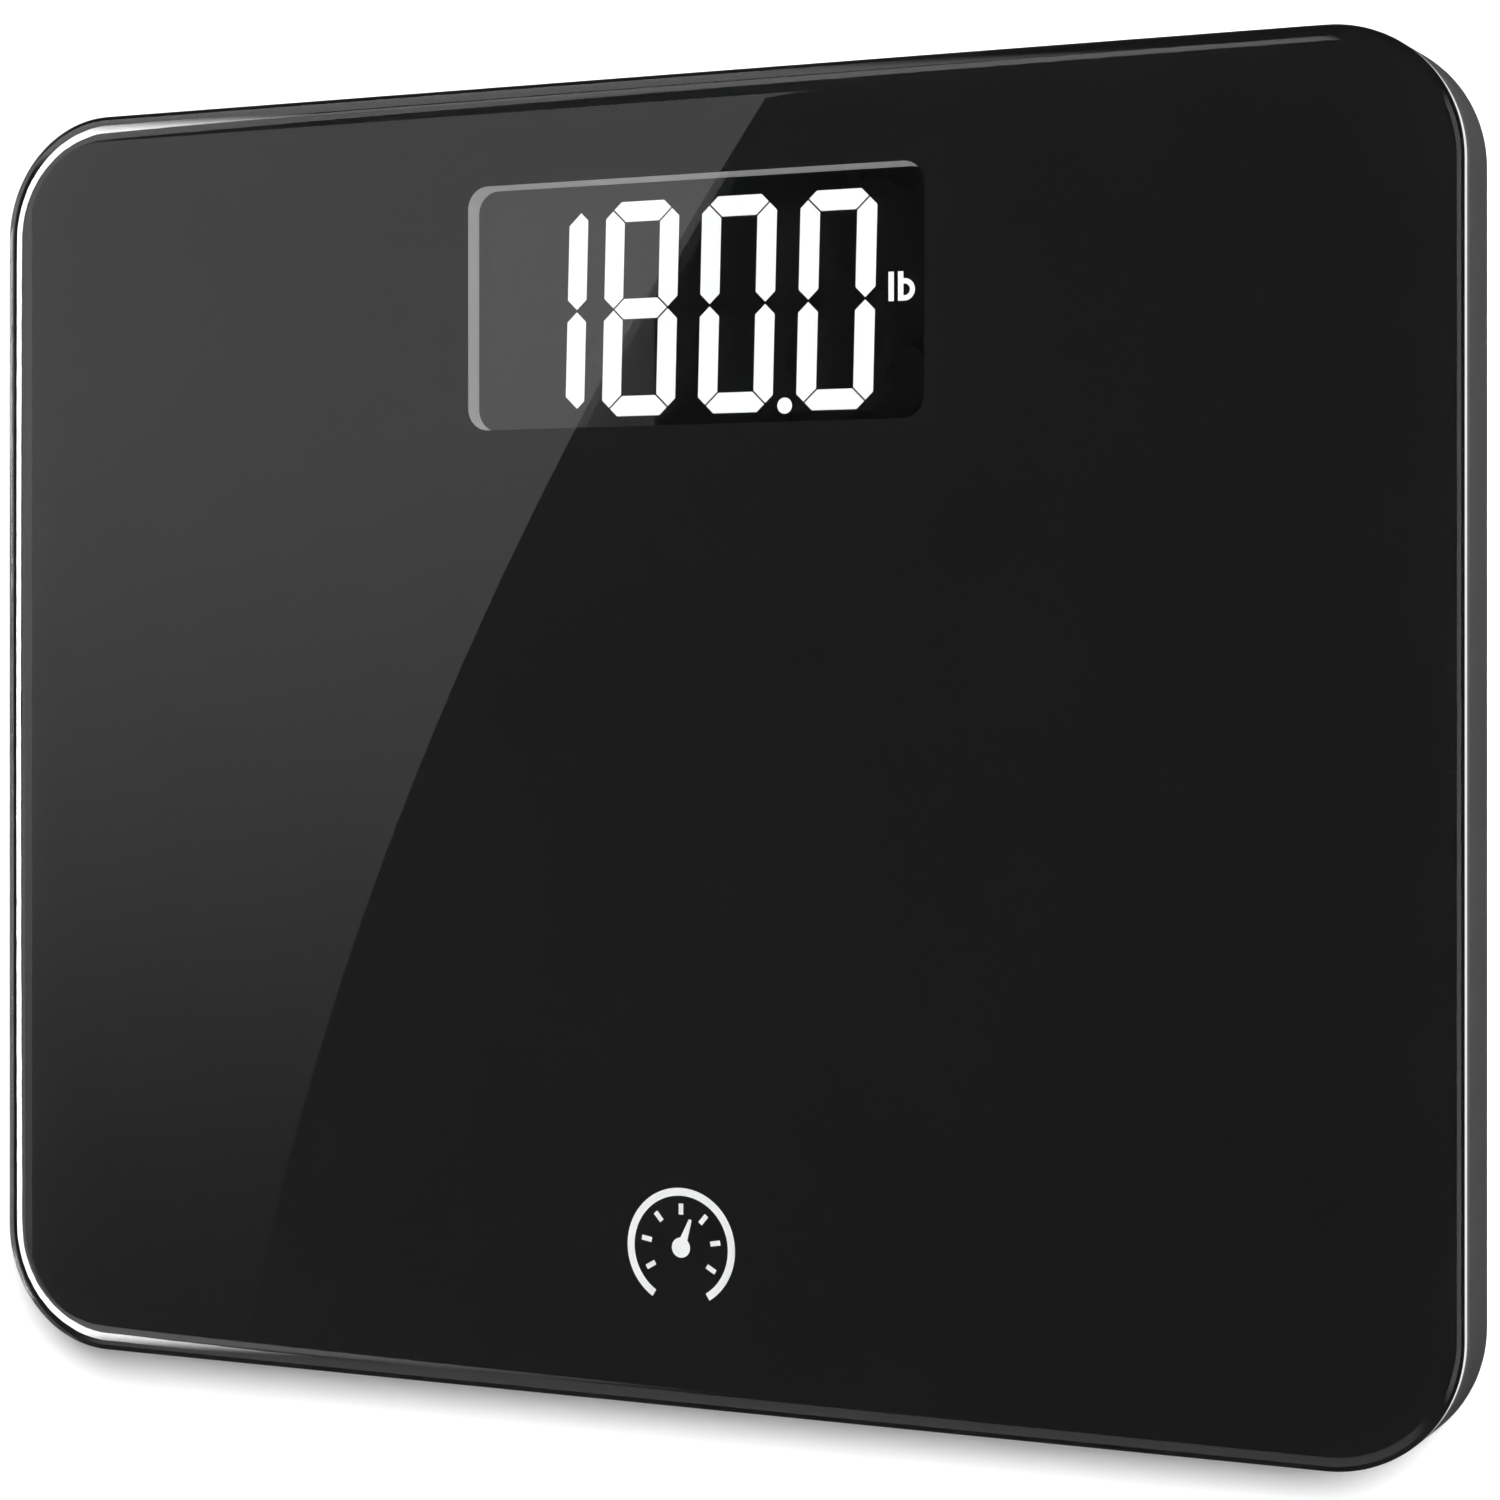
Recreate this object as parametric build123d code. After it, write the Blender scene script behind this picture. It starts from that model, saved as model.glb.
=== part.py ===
from build123d import *
import os

# Digital bathroom scale: glass platform, shallow tray, four load-cell feet, backlit display,
# battery bay with a hinged door and a unit button underneath.
# Origin: middle of the footprint on the floor. +Z up, +Y towards the display, +X right. mm.

# ---- overall -------------------------------------------------------------------------------
platform_width = 350.0
platform_depth = 290.0
corner_radius = 28.0
overall_height = 27.0

# ---- glass, print and tape -----------------------------------------------------------------
glass_thickness = 6.0
glass_round_width = 6.5
glass_round_drop = 3.2
glass_arris_width = 0.7
glass_arris_rise = 0.9
print_thickness = 0.15
tape_thickness = 0.5
tape_width = 6.5
tape_inset = 0.6

# ---- dial mark -----------------------------------------------------------------------------
mark_x = 2.7
mark_y = -110.5
mark_radius = 13.0
mark_stroke = 1.7

# ---- levels of the stack -------------------------------------------------------------------
tray_bottom = 4.0
tray_floor_thickness = 2.0
glass_bottom = overall_height - glass_thickness
print_bottom = glass_bottom - print_thickness
tray_top = print_bottom - tape_thickness
tray_floor_top = tray_bottom + tray_floor_thickness

# ---- tray ----------------------------------------------------------------------------------
tray_wall = 2.2
tray_rim_width = 8.0
tray_rim_depth = 2.0
tray_edge_fillet = 1.2
rib_thickness = 1.4
rib_height = 4.5
rib_x = 70.0
rib_y = -66.0

# ---- feet and load cells -------------------------------------------------------------------
foot_x = 137.0
foot_y = 107.0
foot_travel = 0.6
pad_radius = 18.5
pad_thickness = 2.8
cup_radius = 20.5
cup_bottom = 2.0
cup_top = 5.0
pocket_radius = 22.0
pocket_depth = 2.5
pocket_wall = 2.2
guide_bore_radius = 14.5
guide_clearance = 0.4
collar_radius = 17.0
collar_top = 11.0
snap_lip = 1.2
snap_gap = 0.35
snap_height = 1.2
sleeve_wall = 1.8
post_radius = 4.5
cell_side = 34.0
cell_thickness = 1.6
cell_bottom = 15.0
tongue_width = 12.0
tongue_reach = 8.0
slot_width = 2.0
holder_side = 46.0
holder_bottom = 13.0
holder_window = 26.6
holder_boss_radius = 4.0
holder_boss_reach = 28.0
holder_boss_offset = 12.0
holder_boss_bottom = 8.0

# ---- screws --------------------------------------------------------------------------------
screw_head_radius = 2.8
screw_head_height = 1.8
screw_shank_radius = 1.3
screw_recess = 2.2
counterbore_radius = 3.1

# ---- display -------------------------------------------------------------------------------
display_x = 4.7
display_y = 95.9
display_center = (display_x, display_y)
window_width = 110.2
window_depth = 54.5
window_radius = 5.0
bezel_slope = 0.55
frame_width = 118.0
frame_depth = 65.0
panel_width = 112.0
panel_depth = 59.0
panel_thickness = 1.9
panel_top = 15.9
segment_thickness = 0.15
digit_height = 47.3
digit_width = 18.0
digit_pitch = 23.57
upright_width = 4.65
crossbar_width = 4.45
segment_gap = 0.35
digit_clip = 3.7
digit_lean = 0.0255
first_digit_x = -42.85
leading_one_shift = 1.1
digit_base_y = 71.25
point_radius = 1.75
point_x = 25.2
point_y = 72.45
unit_x = 49.53
unit_y = 94.02
unit_height = 6.3
unit_stroke = 1.25
unit_gap = 0.95
bowl_radius = 2.4
bowl_stroke = 1.15
bowl_reach = 3.9

# ---- circuit board -------------------------------------------------------------------------
board_width = 132.0
board_depth = 66.0
board_bottom = 10.0
board_thickness = 1.6
board_screw_x = 62.6
board_screw_y = 26.0
switch_x = 40.0
switch_y = 72.0
switch_side = 6.2
switch_height = 2.0
plunger_radius = 1.6
button_radius = 5.5
button_travel = 0.5
button_clearance = 0.4

# ---- label ---------------------------------------------------------------------------------
label_center = (0.0, -50.0)
label_width = 69.0
label_depth = 33.0
label_margin = 0.5

# ---- battery bay ---------------------------------------------------------------------------
bay_y = 10.0
bay_length = 52.0
bay_width = 34.5
bay_wall = 1.6
bay_ceiling = 17.7
battery_radius = 5.25
battery_length = 44.5
battery_nub_length = 0.8
battery_nub_radius = 1.9
battery_pitch = 11.2
battery_z = 12.0
door_length = 56.0
door_rear = 19.0
door_front = 23.0
door_thickness = 1.8
door_clearance = 0.4
seat_gap = 0.4
tab_x = 16.0
tab_width = 8.0
latch_width = 10.0

# ---- wiring --------------------------------------------------------------------------------
wire_radius = 0.55
wire_pitch = 1.8
wire_z = 17.5
wire_lane_x = 90.0
wire_pad_x = 64.3
wire_pad_front_y = 86.0
wire_bend = 4.0

corners = {
    "front_left": (-1, -1),
    "front_right": (1, -1),
    "rear_left": (-1, 1),
    "rear_right": (1, 1),
}


# ---- helpers -------------------------------------------------------------------------------
def block(x, y, z):
    """Box from its lowest to its highest coordinate on each axis."""
    x0, x1 = sorted(x)
    y0, y1 = sorted(y)
    z0, z1 = sorted(z)
    middle = Pos((x0 + x1) / 2, (y0 + y1) / 2, (z0 + z1) / 2)
    return middle * Box(x1 - x0, y1 - y0, z1 - z0)


def disc(x, y, radius, z0, z1):
    """Upright cylinder between two heights."""
    return Pos(x, y, (z0 + z1) / 2) * Cylinder(radius, z1 - z0)


def rounded_plate(width, depth, radius, z0, z1, center=(0.0, 0.0)):
    """Plate with rounded corners between two heights."""
    outline = Pos(*center, z0) * RectangleRounded(width, depth, radius)
    return extrude(outline, z1 - z0)


def polygon_plate(points, z0, z1):
    """Plate of any straight-sided outline between two heights."""
    outline = make_face(Polyline(*points, close=True))
    return extrude(Pos(0, 0, z0) * outline, z1 - z0)


def group(solids):
    """Several separate solids as one piece."""
    return Compound(children=[s for part in solids for s in part.solids()])


def bent_path(points, radius):
    """Straight runs joined by tangent arcs."""
    points = [Vector(*p) for p in points]
    edges = []
    start = points[0]
    for before, corner, after in zip(points, points[1:], points[2:]):
        back = (before - corner).normalized()
        ahead = (after - corner).normalized()
        enter = corner + back * radius
        leave = corner + ahead * radius
        toward = (back + ahead).normalized()
        middle = corner + toward * (radius * (2 ** 0.5 - 1))
        edges.append(Line(start, enter))
        edges.append(ThreePointArc(enter, middle, leave))
        start = leave
    edges.append(Line(start, points[-1]))
    return Wire([edge for part in edges for edge in part.edges()])


def wire_along(points, radius=wire_radius, bend=wire_bend):
    """Round wire following a bent path."""
    path = bent_path(points, bend)
    section = Plane(origin=path @ 0, z_dir=path % 0) * Circle(radius)
    return sweep(section, path=path)


def board_screw_places():
    return [
        (display_x + sx * board_screw_x, display_y + sy * board_screw_y)
        for sx in (-1, 1)
        for sy in (-1, 1)
    ]


def foot_center(name):
    side, end = corners[name]
    return side * foot_x, end * foot_y


def holder_bosses(name):
    """Positions of the two screw bosses of one load-cell holder."""
    side, end = corners[name]
    x, y = foot_center(name)
    return [
        (x - side * holder_boss_reach, y + end * holder_boss_offset),
        (x + side * holder_boss_offset, y - end * holder_boss_reach),
    ]


# ---- platform ------------------------------------------------------------------------------
def make_glass():
    """Tempered plate: wide soft round above, small arris below."""
    half_x = platform_width / 2
    half_y = platform_depth / 2
    shoulder = overall_height - glass_round_drop
    belly = glass_bottom + glass_arris_rise
    inner = half_x - 2 * glass_round_width
    top_start = (half_x - glass_round_width, overall_height)
    section = make_face(
        [
            Line((inner, glass_bottom), (inner, overall_height)),
            Line((inner, overall_height), top_start),
            EllipticalCenterArc(
                (half_x - glass_round_width, shoulder),
                glass_round_width,
                glass_round_drop,
                start_angle=0,
                arc_size=90,
            ),
            Line((half_x, shoulder), (half_x, belly)),
            EllipticalCenterArc(
                (half_x - glass_arris_width, belly),
                glass_arris_width,
                glass_arris_rise,
                start_angle=270,
                arc_size=90,
            ),
            Line((half_x - glass_arris_width, glass_bottom), (inner, glass_bottom)),
        ]
    )
    section = Plane.XZ * section
    core_inset = 4 * glass_round_width
    glass = rounded_plate(
        platform_width - core_inset,
        platform_depth - core_inset,
        corner_radius - 2 * glass_round_width,
        glass_bottom,
        overall_height,
    )
    straight_x = half_x - corner_radius
    straight_y = half_y - corner_radius
    side = extrude(section, straight_y, both=True)
    end_section = Rot(0, 0, 90) * (Pos(half_y - half_x, 0, 0) * section)
    end = extrude(end_section, straight_x, both=True)
    corner_axis = Axis((straight_x, straight_y, 0), (0, 0, 1))
    corner = revolve(Pos(0, straight_y, 0) * section, corner_axis, 90)
    glass += [side, mirror(side, Plane.YZ), end, mirror(end, Plane.XZ)]
    right = [corner, mirror(corner, Plane.XZ)]
    glass += right + [mirror(piece, Plane.YZ) for piece in right]
    return glass


def dial_mark(z0, z1):
    """Plain dial pictogram: an arc, ticks and a needle."""
    outer = mark_radius
    ring = disc(0, 0, outer, z0, z1) - disc(0, 0, outer - mark_stroke, z0, z1)
    gap = polygon_plate([(0, 0), (-outer, -1.6 * outer), (outer, -1.6 * outer)], z0, z1)
    center = Pos(mark_x, mark_y, 0)
    pieces = [center * (ring - gap)]
    for angle in range(-120, 121, 40):
        tick = block((-0.55, 0.55), (7.2, 9.6), (z0, z1))
        pieces.append(center * Rot(0, 0, angle) * tick)
    needle = polygon_plate([(-1.3, -1.6), (1.3, -1.6), (0.35, 6.6), (-0.35, 6.6)], z0, z1)
    hub = disc(0, 0, 2.2, z0, z1)
    pieces.append(center * Rot(0, 0, -20) * (needle + hub))
    return group(pieces)


def make_back_print(mark):
    film = rounded_plate(
        platform_width - 2 * glass_arris_width - 0.4,
        platform_depth - 2 * glass_arris_width - 0.4,
        corner_radius - glass_arris_width - 0.2,
        print_bottom,
        glass_bottom,
    )
    window = rounded_plate(
        window_width, window_depth, window_radius, print_bottom, glass_bottom, display_center
    )
    return film - window - list(mark.solids())


def make_tape():
    outer = rounded_plate(
        platform_width - 2 * glass_arris_width - 2 * tape_inset,
        platform_depth - 2 * glass_arris_width - 2 * tape_inset,
        corner_radius - glass_arris_width - tape_inset,
        tray_top,
        print_bottom,
    )
    inset = glass_arris_width + tape_inset + tape_width
    inner = rounded_plate(
        platform_width - 2 * inset,
        platform_depth - 2 * inset,
        corner_radius - inset,
        tray_top,
        print_bottom,
    )
    return outer - inner


# ---- tray ----------------------------------------------------------------------------------
def tray_shell():
    outer = rounded_plate(platform_width, platform_depth, corner_radius, tray_bottom, tray_top)
    lower_edges = outer.edges().filter_by_position(Axis.Z, tray_bottom - 0.01, tray_bottom + 0.01)
    outer = fillet(lower_edges, tray_edge_fillet)
    rim_bottom = tray_top - tray_rim_depth
    cavity = rounded_plate(
        platform_width - 2 * tray_wall,
        platform_depth - 2 * tray_wall,
        corner_radius - tray_wall,
        tray_floor_top,
        rim_bottom,
    )
    mouth = rounded_plate(
        platform_width - 2 * tray_rim_width,
        platform_depth - 2 * tray_rim_width,
        corner_radius - tray_rim_width,
        rim_bottom,
        tray_top,
    )
    return outer - cavity - mouth


def tray_ribs():
    rib_z = (tray_floor_top, tray_floor_top + rib_height)
    half = rib_thickness / 2
    inside_x = platform_width / 2 - tray_wall
    inside_y = platform_depth / 2 - tray_wall
    ribs = [block((-inside_x, inside_x), (rib_y - half, rib_y + half), rib_z)]
    for x in (-rib_x, rib_x):
        ribs.append(block((x - half, x + half), (-inside_y, 50.0), rib_z))
    return ribs


def tray_additions():
    """Everything that stands on the tray floor."""
    pieces = tray_ribs()
    pocket_top = tray_bottom + pocket_depth
    for name in corners:
        x, y = foot_center(name)
        pieces.append(disc(x, y, pocket_radius + pocket_wall, tray_bottom, pocket_top + 2.0))
        pieces.append(disc(x, y, collar_radius, pocket_top, collar_top))
        for bx, by in holder_bosses(name):
            pieces.append(disc(bx, by, 4.5, tray_bottom, holder_boss_bottom))
    for x, y in board_screw_places():
        pieces.append(disc(x, y, 3.0, tray_floor_top, board_bottom))
    half_length = bay_length / 2 + bay_wall
    half_width = bay_width / 2 + bay_wall
    bay_x = (-half_length, half_length)
    bay_sides = (bay_y - half_width, bay_y + half_width)
    pieces.append(block(bay_x, bay_sides, (tray_floor_top, bay_ceiling + 1.5)))
    seat_x = door_length / 2 + door_clearance + 2.0
    seat_y = (bay_y - door_rear - door_clearance - 2.0, bay_y + door_front + door_clearance + 2.0)
    pieces.append(block((-seat_x, seat_x), seat_y, (tray_bottom, tray_floor_top + 1.8)))
    return pieces


def tray_cuts():
    """Foot pockets, screw holes, battery opening, button hole and label recess."""
    cuts = []
    pocket_top = tray_bottom + pocket_depth
    for name in corners:
        x, y = foot_center(name)
        cuts.append(disc(x, y, pocket_radius, 0, pocket_top))
        cuts.append(disc(x, y, guide_bore_radius, 0, collar_top))
        for bx, by in holder_bosses(name):
            cuts.append(disc(bx, by, counterbore_radius, 0, tray_bottom + screw_recess))
            cuts.append(disc(bx, by, 1.6, 0, holder_boss_bottom))
    for x, y in board_screw_places():
        cuts.append(disc(x, y, screw_shank_radius, tray_floor_top, board_bottom))
    open_x = door_length / 2 + door_clearance
    rear = bay_y - door_rear - door_clearance
    front = bay_y + door_front + door_clearance
    seat = tray_bottom + door_thickness + seat_gap
    cuts.append(block((-open_x, open_x), (rear, front), (0, seat)))
    half_width = bay_width / 2
    inner_x = (-bay_length / 2, bay_length / 2)
    cuts.append(block(inner_x, (bay_y - half_width, bay_y + half_width), (0, bay_ceiling)))
    for x in (-tab_x, tab_x):
        notch_x = (x - tab_width / 2 - 0.6, x + tab_width / 2 + 0.6)
        cuts.append(block(notch_x, (rear - 3.0, bay_y - half_width), (tray_floor_top, 9.8)))
    latch_x = (-latch_width / 2 - 1.0, latch_width / 2 + 1.0)
    latch_y = (bay_y + half_width + bay_wall, front)
    cuts.append(block(latch_x, latch_y, (0, tray_floor_top + 1.8)))
    scoop = Pos(0, front + 1.0, tray_bottom - 8.9) * Rot(0, 90, 0) * Cylinder(10.0, 18.0)
    cuts.append(scoop)
    cuts.append(disc(switch_x, switch_y, button_radius + button_clearance, 0, tray_floor_top))
    cuts.append(disc(switch_x, switch_y, 9.5, 0, tray_bottom + 0.8))
    recess_width = label_width + 2 * label_margin
    recess_depth = label_depth + 2 * label_margin
    recess_top = tray_bottom + 0.3
    cuts.append(
        rounded_plate(recess_width, recess_depth, 2.0, tray_bottom, recess_top, label_center)
    )
    return cuts


def make_tray():
    tray = tray_shell()
    tray += tray_additions()
    tray -= tray_cuts()
    return tray


# ---- feet and load cells -------------------------------------------------------------------
def make_foot_pad(x, y):
    """Rubber tread with a hollow middle and one ring groove."""
    pad = disc(x, y, pad_radius, 0, pad_thickness)
    pad = chamfer(pad.edges().filter_by(GeomType.CIRCLE).sort_by(Axis.Z)[0], 0.5)
    pad -= disc(x, y, 6.0, 0, 1.0)
    pad -= disc(x, y, 13.0, 0, 0.6) - disc(x, y, 11.6, 0, 0.6)
    return pad


def make_foot_cup(x, y):
    """Flange, slotted snap sleeve and the post that presses on the load cell."""
    sleeve_radius = guide_bore_radius - guide_clearance
    lip_bottom = collar_top + snap_gap
    lip_top = lip_bottom + snap_height
    cup = disc(x, y, cup_radius, cup_bottom, cup_top)
    cup -= disc(x, y, pad_radius + 0.1, cup_bottom, pad_thickness)
    sleeve = disc(x, y, sleeve_radius, cup_top, lip_top)
    sleeve += disc(x, y, sleeve_radius + snap_lip, lip_bottom, lip_top)
    sleeve -= disc(x, y, sleeve_radius - sleeve_wall, cup_top, lip_top)
    for along in (0, 90):
        slot = block((-20, 20), (-1.2, 1.2), (7.5, lip_top))
        sleeve -= Pos(x, y, 0) * Rot(0, 0, 45 + along) * slot
    post_top = cell_bottom - foot_travel - 0.3
    post = disc(x, y, post_radius, cup_top, post_top)
    web_reach = sleeve_radius - sleeve_wall
    web_z = (cup_top, 7.5)
    webs = [
        block((x - web_reach, x + web_reach), (y - 0.8, y + 0.8), web_z),
        block((x - 0.8, x + 0.8), (y - web_reach, y + web_reach), web_z),
    ]
    return cup + [sleeve, post] + webs


def make_cell_holder(name):
    """Moulding bonded under the glass; the load cell presses up against its shoulder."""
    side, end = corners[name]
    x, y = foot_center(name)
    half = cell_side / 2 + 0.2
    cell_top = cell_bottom + cell_thickness
    body = Pos(x, y, holder_bottom) * RectangleRounded(holder_side, holder_side, 6.0)
    holder = extrude(body, tray_top - holder_bottom)
    first, second = holder_bosses(name)
    reach = holder_side / 2 - 1.0
    web_z = (holder_bottom, tray_top)
    holder += block((first[0], x - side * reach), (first[1] - 3.0, first[1] + 3.0), web_z)
    holder += block((second[0] - 3.0, second[0] + 3.0), (second[1], y - end * reach), web_z)
    for bx, by in (first, second):
        holder += disc(bx, by, holder_boss_radius, holder_boss_bottom, tray_top)
    holder -= block((x - half, x + half), (y - half, y + half), (holder_bottom, cell_top))
    window = holder_window / 2
    holder -= block((x - window, x + window), (y - window, y + window), (cell_top, tray_top))
    notch = (x - side * window, x - side * (holder_side / 2 + 1.0))
    holder -= block(notch, (y - 4.0, y + 4.0), (cell_top, cell_top + 2.6))
    for bx, by in (first, second):
        holder -= disc(bx, by, screw_shank_radius, holder_boss_bottom, holder_boss_bottom + 6.5)
    clip_z = (cell_bottom - 1.0, cell_bottom)
    for sy in (-1, 1):
        for cx in (-9.0, 9.0):
            clip_y = (y + sy * half, y + sy * (half - 0.8))
            holder += block((x + cx - 3.0, x + cx + 3.0), clip_y, clip_z)
    return holder


def make_load_cell(name):
    """Steel plate with a U slot that frees the measuring tongue."""
    side, _ = corners[name]
    x, y = foot_center(name)
    cell_top = cell_bottom + cell_thickness
    z = (cell_bottom, cell_top)
    plate = Pos(x, y, cell_bottom) * RectangleRounded(cell_side, cell_side, 3.0)
    cell = extrude(plate, cell_thickness)
    root = x - side * 11.0
    tip = x + side * tongue_reach
    half = tongue_width / 2
    for sy in (-1, 1):
        edge = (y + sy * half, y + sy * (half + slot_width))
        cell -= block((root, tip + side * slot_width), edge, z)
    cell -= block((tip, tip + side * slot_width), (y - half - 1.0, y + half + 1.0), z)
    for sx in (-1, 1):
        for sy in (-1, 1):
            cell -= disc(x + sx * 13.6, y + sy * 13.6, 1.2, cell_bottom, cell_top)
    return cell


def make_strain_gauge(name):
    """Foil gauge under a cap of sealant at the root of the tongue."""
    side, _ = corners[name]
    x, y = foot_center(name)
    cell_top = cell_bottom + cell_thickness
    foil_top = cell_top + 0.2
    backing = block((x - side * 8.4, x - side * 0.4), (y - 3.2, y + 3.2), (cell_top, foil_top))
    cap = block((x - side * 8.0, x - side * 1.0), (y - 2.9, y + 2.9), (foil_top, foil_top + 1.4))
    top_edges = cap.edges().group_by(Axis.Z)[-1]
    return backing + fillet(top_edges, 0.6)


def make_lead_wires(name):
    """Three leads from the gauge, along the underside of the glass, to the circuit board."""
    side, end = corners[name]
    x, y = foot_center(name)
    start_x = x - side * 8.05
    board_top = board_bottom + board_thickness
    wires = []
    for lane in (-1, 0, 1):
        shift = lane * wire_pitch
        pad_x = display_x + side * wire_pad_x
        if end > 0:
            points = [
                (start_x, y + shift, wire_z),
                (pad_x, y + shift, wire_z),
                (pad_x, y + shift, board_top),
            ]
        else:
            lane_x = side * (wire_lane_x + shift)
            pad_y = wire_pad_front_y + shift
            points = [
                (start_x, y + shift, wire_z),
                (lane_x, y + shift, wire_z),
                (lane_x, pad_y, wire_z),
                (pad_x, pad_y, wire_z),
                (pad_x, pad_y, board_top),
            ]
        wires.append(wire_along(points))
    return group(wires)


def make_holder_pads():
    """Adhesive pads between the holders and the printed glass."""
    pads = []
    window = holder_window / 2
    for name in corners:
        x, y = foot_center(name)
        outline = Pos(x, y, tray_top) * RectangleRounded(holder_side, holder_side, 6.0)
        pad = extrude(outline, tape_thickness)
        pad -= block((x - window, x + window), (y - window, y + window), (tray_top, print_bottom))
        pads.append(pad)
    return group(pads)


def make_wire_clips():
    """Saddles that hold the leads up against the glass."""
    clips = []
    reach = wire_pitch + wire_radius + 0.2
    outside = reach + 1.2
    low, high = wire_z - wire_radius - 0.1, wire_z + wire_radius + 0.1
    saddle = block((-outside, outside), (-3.0, 3.0), (low - 0.9, print_bottom))
    saddle -= block((-reach, reach), (-3.0, 3.0), (low, high))
    for side in (-1, 1):
        for y in (-70.0, -10.0, 50.0):
            clips.append(Pos(side * wire_lane_x, y, 0) * saddle)
        clips.append(Pos(side * 98.0, foot_y, 0) * Rot(0, 0, 90) * saddle)
    return group(clips)


# ---- screws --------------------------------------------------------------------------------
def screw(x, y, seat, length, upward):
    """Pan-head screw with a cross recess; the shank runs up or down from the seat."""
    direction = 1 if upward else -1
    head_end = seat - direction * screw_head_height
    head = disc(x, y, screw_head_radius, min(seat, head_end), max(seat, head_end))
    rim = head.edges().filter_by(GeomType.CIRCLE).sort_by(Axis.Z)
    head = fillet(rim[0 if upward else -1], 0.7)
    tip = seat + direction * length
    shank = disc(x, y, screw_shank_radius, min(seat, tip), max(seat, tip))
    recess_z = (head_end, head_end + direction * 1.1)
    cross = block((x - 1.7, x + 1.7), (y - 0.35, y + 0.35), recess_z)
    cross += block((x - 0.35, x + 0.35), (y - 1.7, y + 1.7), recess_z)
    return head + shank - cross


def make_tray_screws():
    seat = tray_bottom + screw_recess
    places = [place for name in corners for place in holder_bosses(name)]
    return group([screw(x, y, seat, 8.0, True) for x, y in places])


def make_board_screws():
    seat = board_bottom + board_thickness
    return group([screw(x, y, seat, 5.4, False) for x, y in board_screw_places()])


# ---- display -------------------------------------------------------------------------------
def make_bezel():
    """Frame round the window; its rear wall leans in a little towards the panel."""
    outer = rounded_plate(frame_width, frame_depth, 7.0, panel_top, print_bottom, display_center)
    mouth = Pos(*display_center, print_bottom) * RectangleRounded(
        window_width, window_depth, window_radius
    )
    throat = Pos(display_x, display_y - bezel_slope / 2, panel_top) * RectangleRounded(
        window_width, window_depth - bezel_slope, window_radius
    )
    return outer - loft([throat, mouth])


def make_panel():
    """Two glass sheets; the lower one is deeper and carries the contacts at the rear."""
    x = (display_x - panel_width / 2, display_x + panel_width / 2)
    near = display_y - panel_depth / 2
    far = display_y + panel_depth / 2
    seam = panel_top - panel_thickness / 2
    lower_sheet = block(x, (near, far), (panel_top - panel_thickness, seam))
    upper_sheet = block(x, (near, far - 2.6), (seam, panel_top))
    return lower_sheet + upper_sheet


def segment_outlines():
    """Outlines of the seven bars of one digit, lower left corner at the origin.

    They are laid out in bar widths, so that the mitres run corner to corner."""
    bar = (upright_width + crossbar_width) / 2
    width = digit_width / upright_width
    height = digit_height / crossbar_width
    clip = digit_clip / bar
    step = segment_gap / bar / 2 ** 0.5
    mid = height / 2
    top = [
        ((clip + step) / 2, height - (clip - step) / 2),
        (clip, height),
        (width - clip, height),
        (width - (clip + step) / 2, height - (clip - step) / 2),
        (width - 1 - step, height - 1),
        (1 + step, height - 1),
    ]
    upper_left = [
        (0, height - clip),
        ((clip - step) / 2, height - (clip + step) / 2),
        (1, height - 1 - step),
        (1, mid + 0.5 + step),
        (0.5, mid + step),
        (0, mid + 0.5 + step),
    ]
    middle = [
        (0.5 + step, mid),
        (1 + step, mid + 0.5),
        (width - 1 - step, mid + 0.5),
        (width - 0.5 - step, mid),
        (width - 1 - step, mid - 0.5),
        (1 + step, mid - 0.5),
    ]
    bars = {
        "a": top,
        "b": [(width - x, y) for x, y in upper_left],
        "c": [(width - x, height - y) for x, y in upper_left],
        "d": [(x, height - y) for x, y in top],
        "e": [(x, height - y) for x, y in upper_left],
        "f": upper_left,
        "g": middle,
    }
    return {
        name: [(x * upright_width, y * crossbar_width) for x, y in points]
        for name, points in bars.items()
    }


def make_digits():
    """Lit bars of the reading 180.0."""
    z0 = panel_top
    lit = ["bc", "abcdefg", "abcdef", "abcdef"]
    outlines = segment_outlines()
    bars = []
    for place, names in enumerate(lit):
        left = first_digit_x + place * digit_pitch
        if names == "bc":
            left += leading_one_shift
        for name in names:
            points = [
                (left + x + digit_lean * y, digit_base_y + y) for x, y in outlines[name]
            ]
            bars.append(polygon_plate(points, z0, z0 + segment_thickness))
    return group(bars)


def make_point():
    return disc(point_x, point_y, point_radius, panel_top, panel_top + segment_thickness)


def make_unit_sign():
    """Lit unit beside the digits."""
    z0, z1 = panel_top, panel_top + segment_thickness
    ell = block((unit_x, unit_x + unit_stroke), (unit_y, unit_y + unit_height), (z0, z1))
    stem_x = unit_x + unit_stroke + unit_gap
    center = (stem_x + bowl_reach - bowl_radius, unit_y + bowl_radius)
    ring = disc(*center, bowl_radius, z0, z1) - disc(*center, bowl_radius - bowl_stroke, z0, z1)
    ring &= block((stem_x + unit_stroke / 2, stem_x + bowl_reach), (unit_y, unit_y + unit_height), (z0, z1))
    stem = block((stem_x, stem_x + unit_stroke), (unit_y, unit_y + unit_height), (z0, z1))
    return group([ell, ring + stem])


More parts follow.
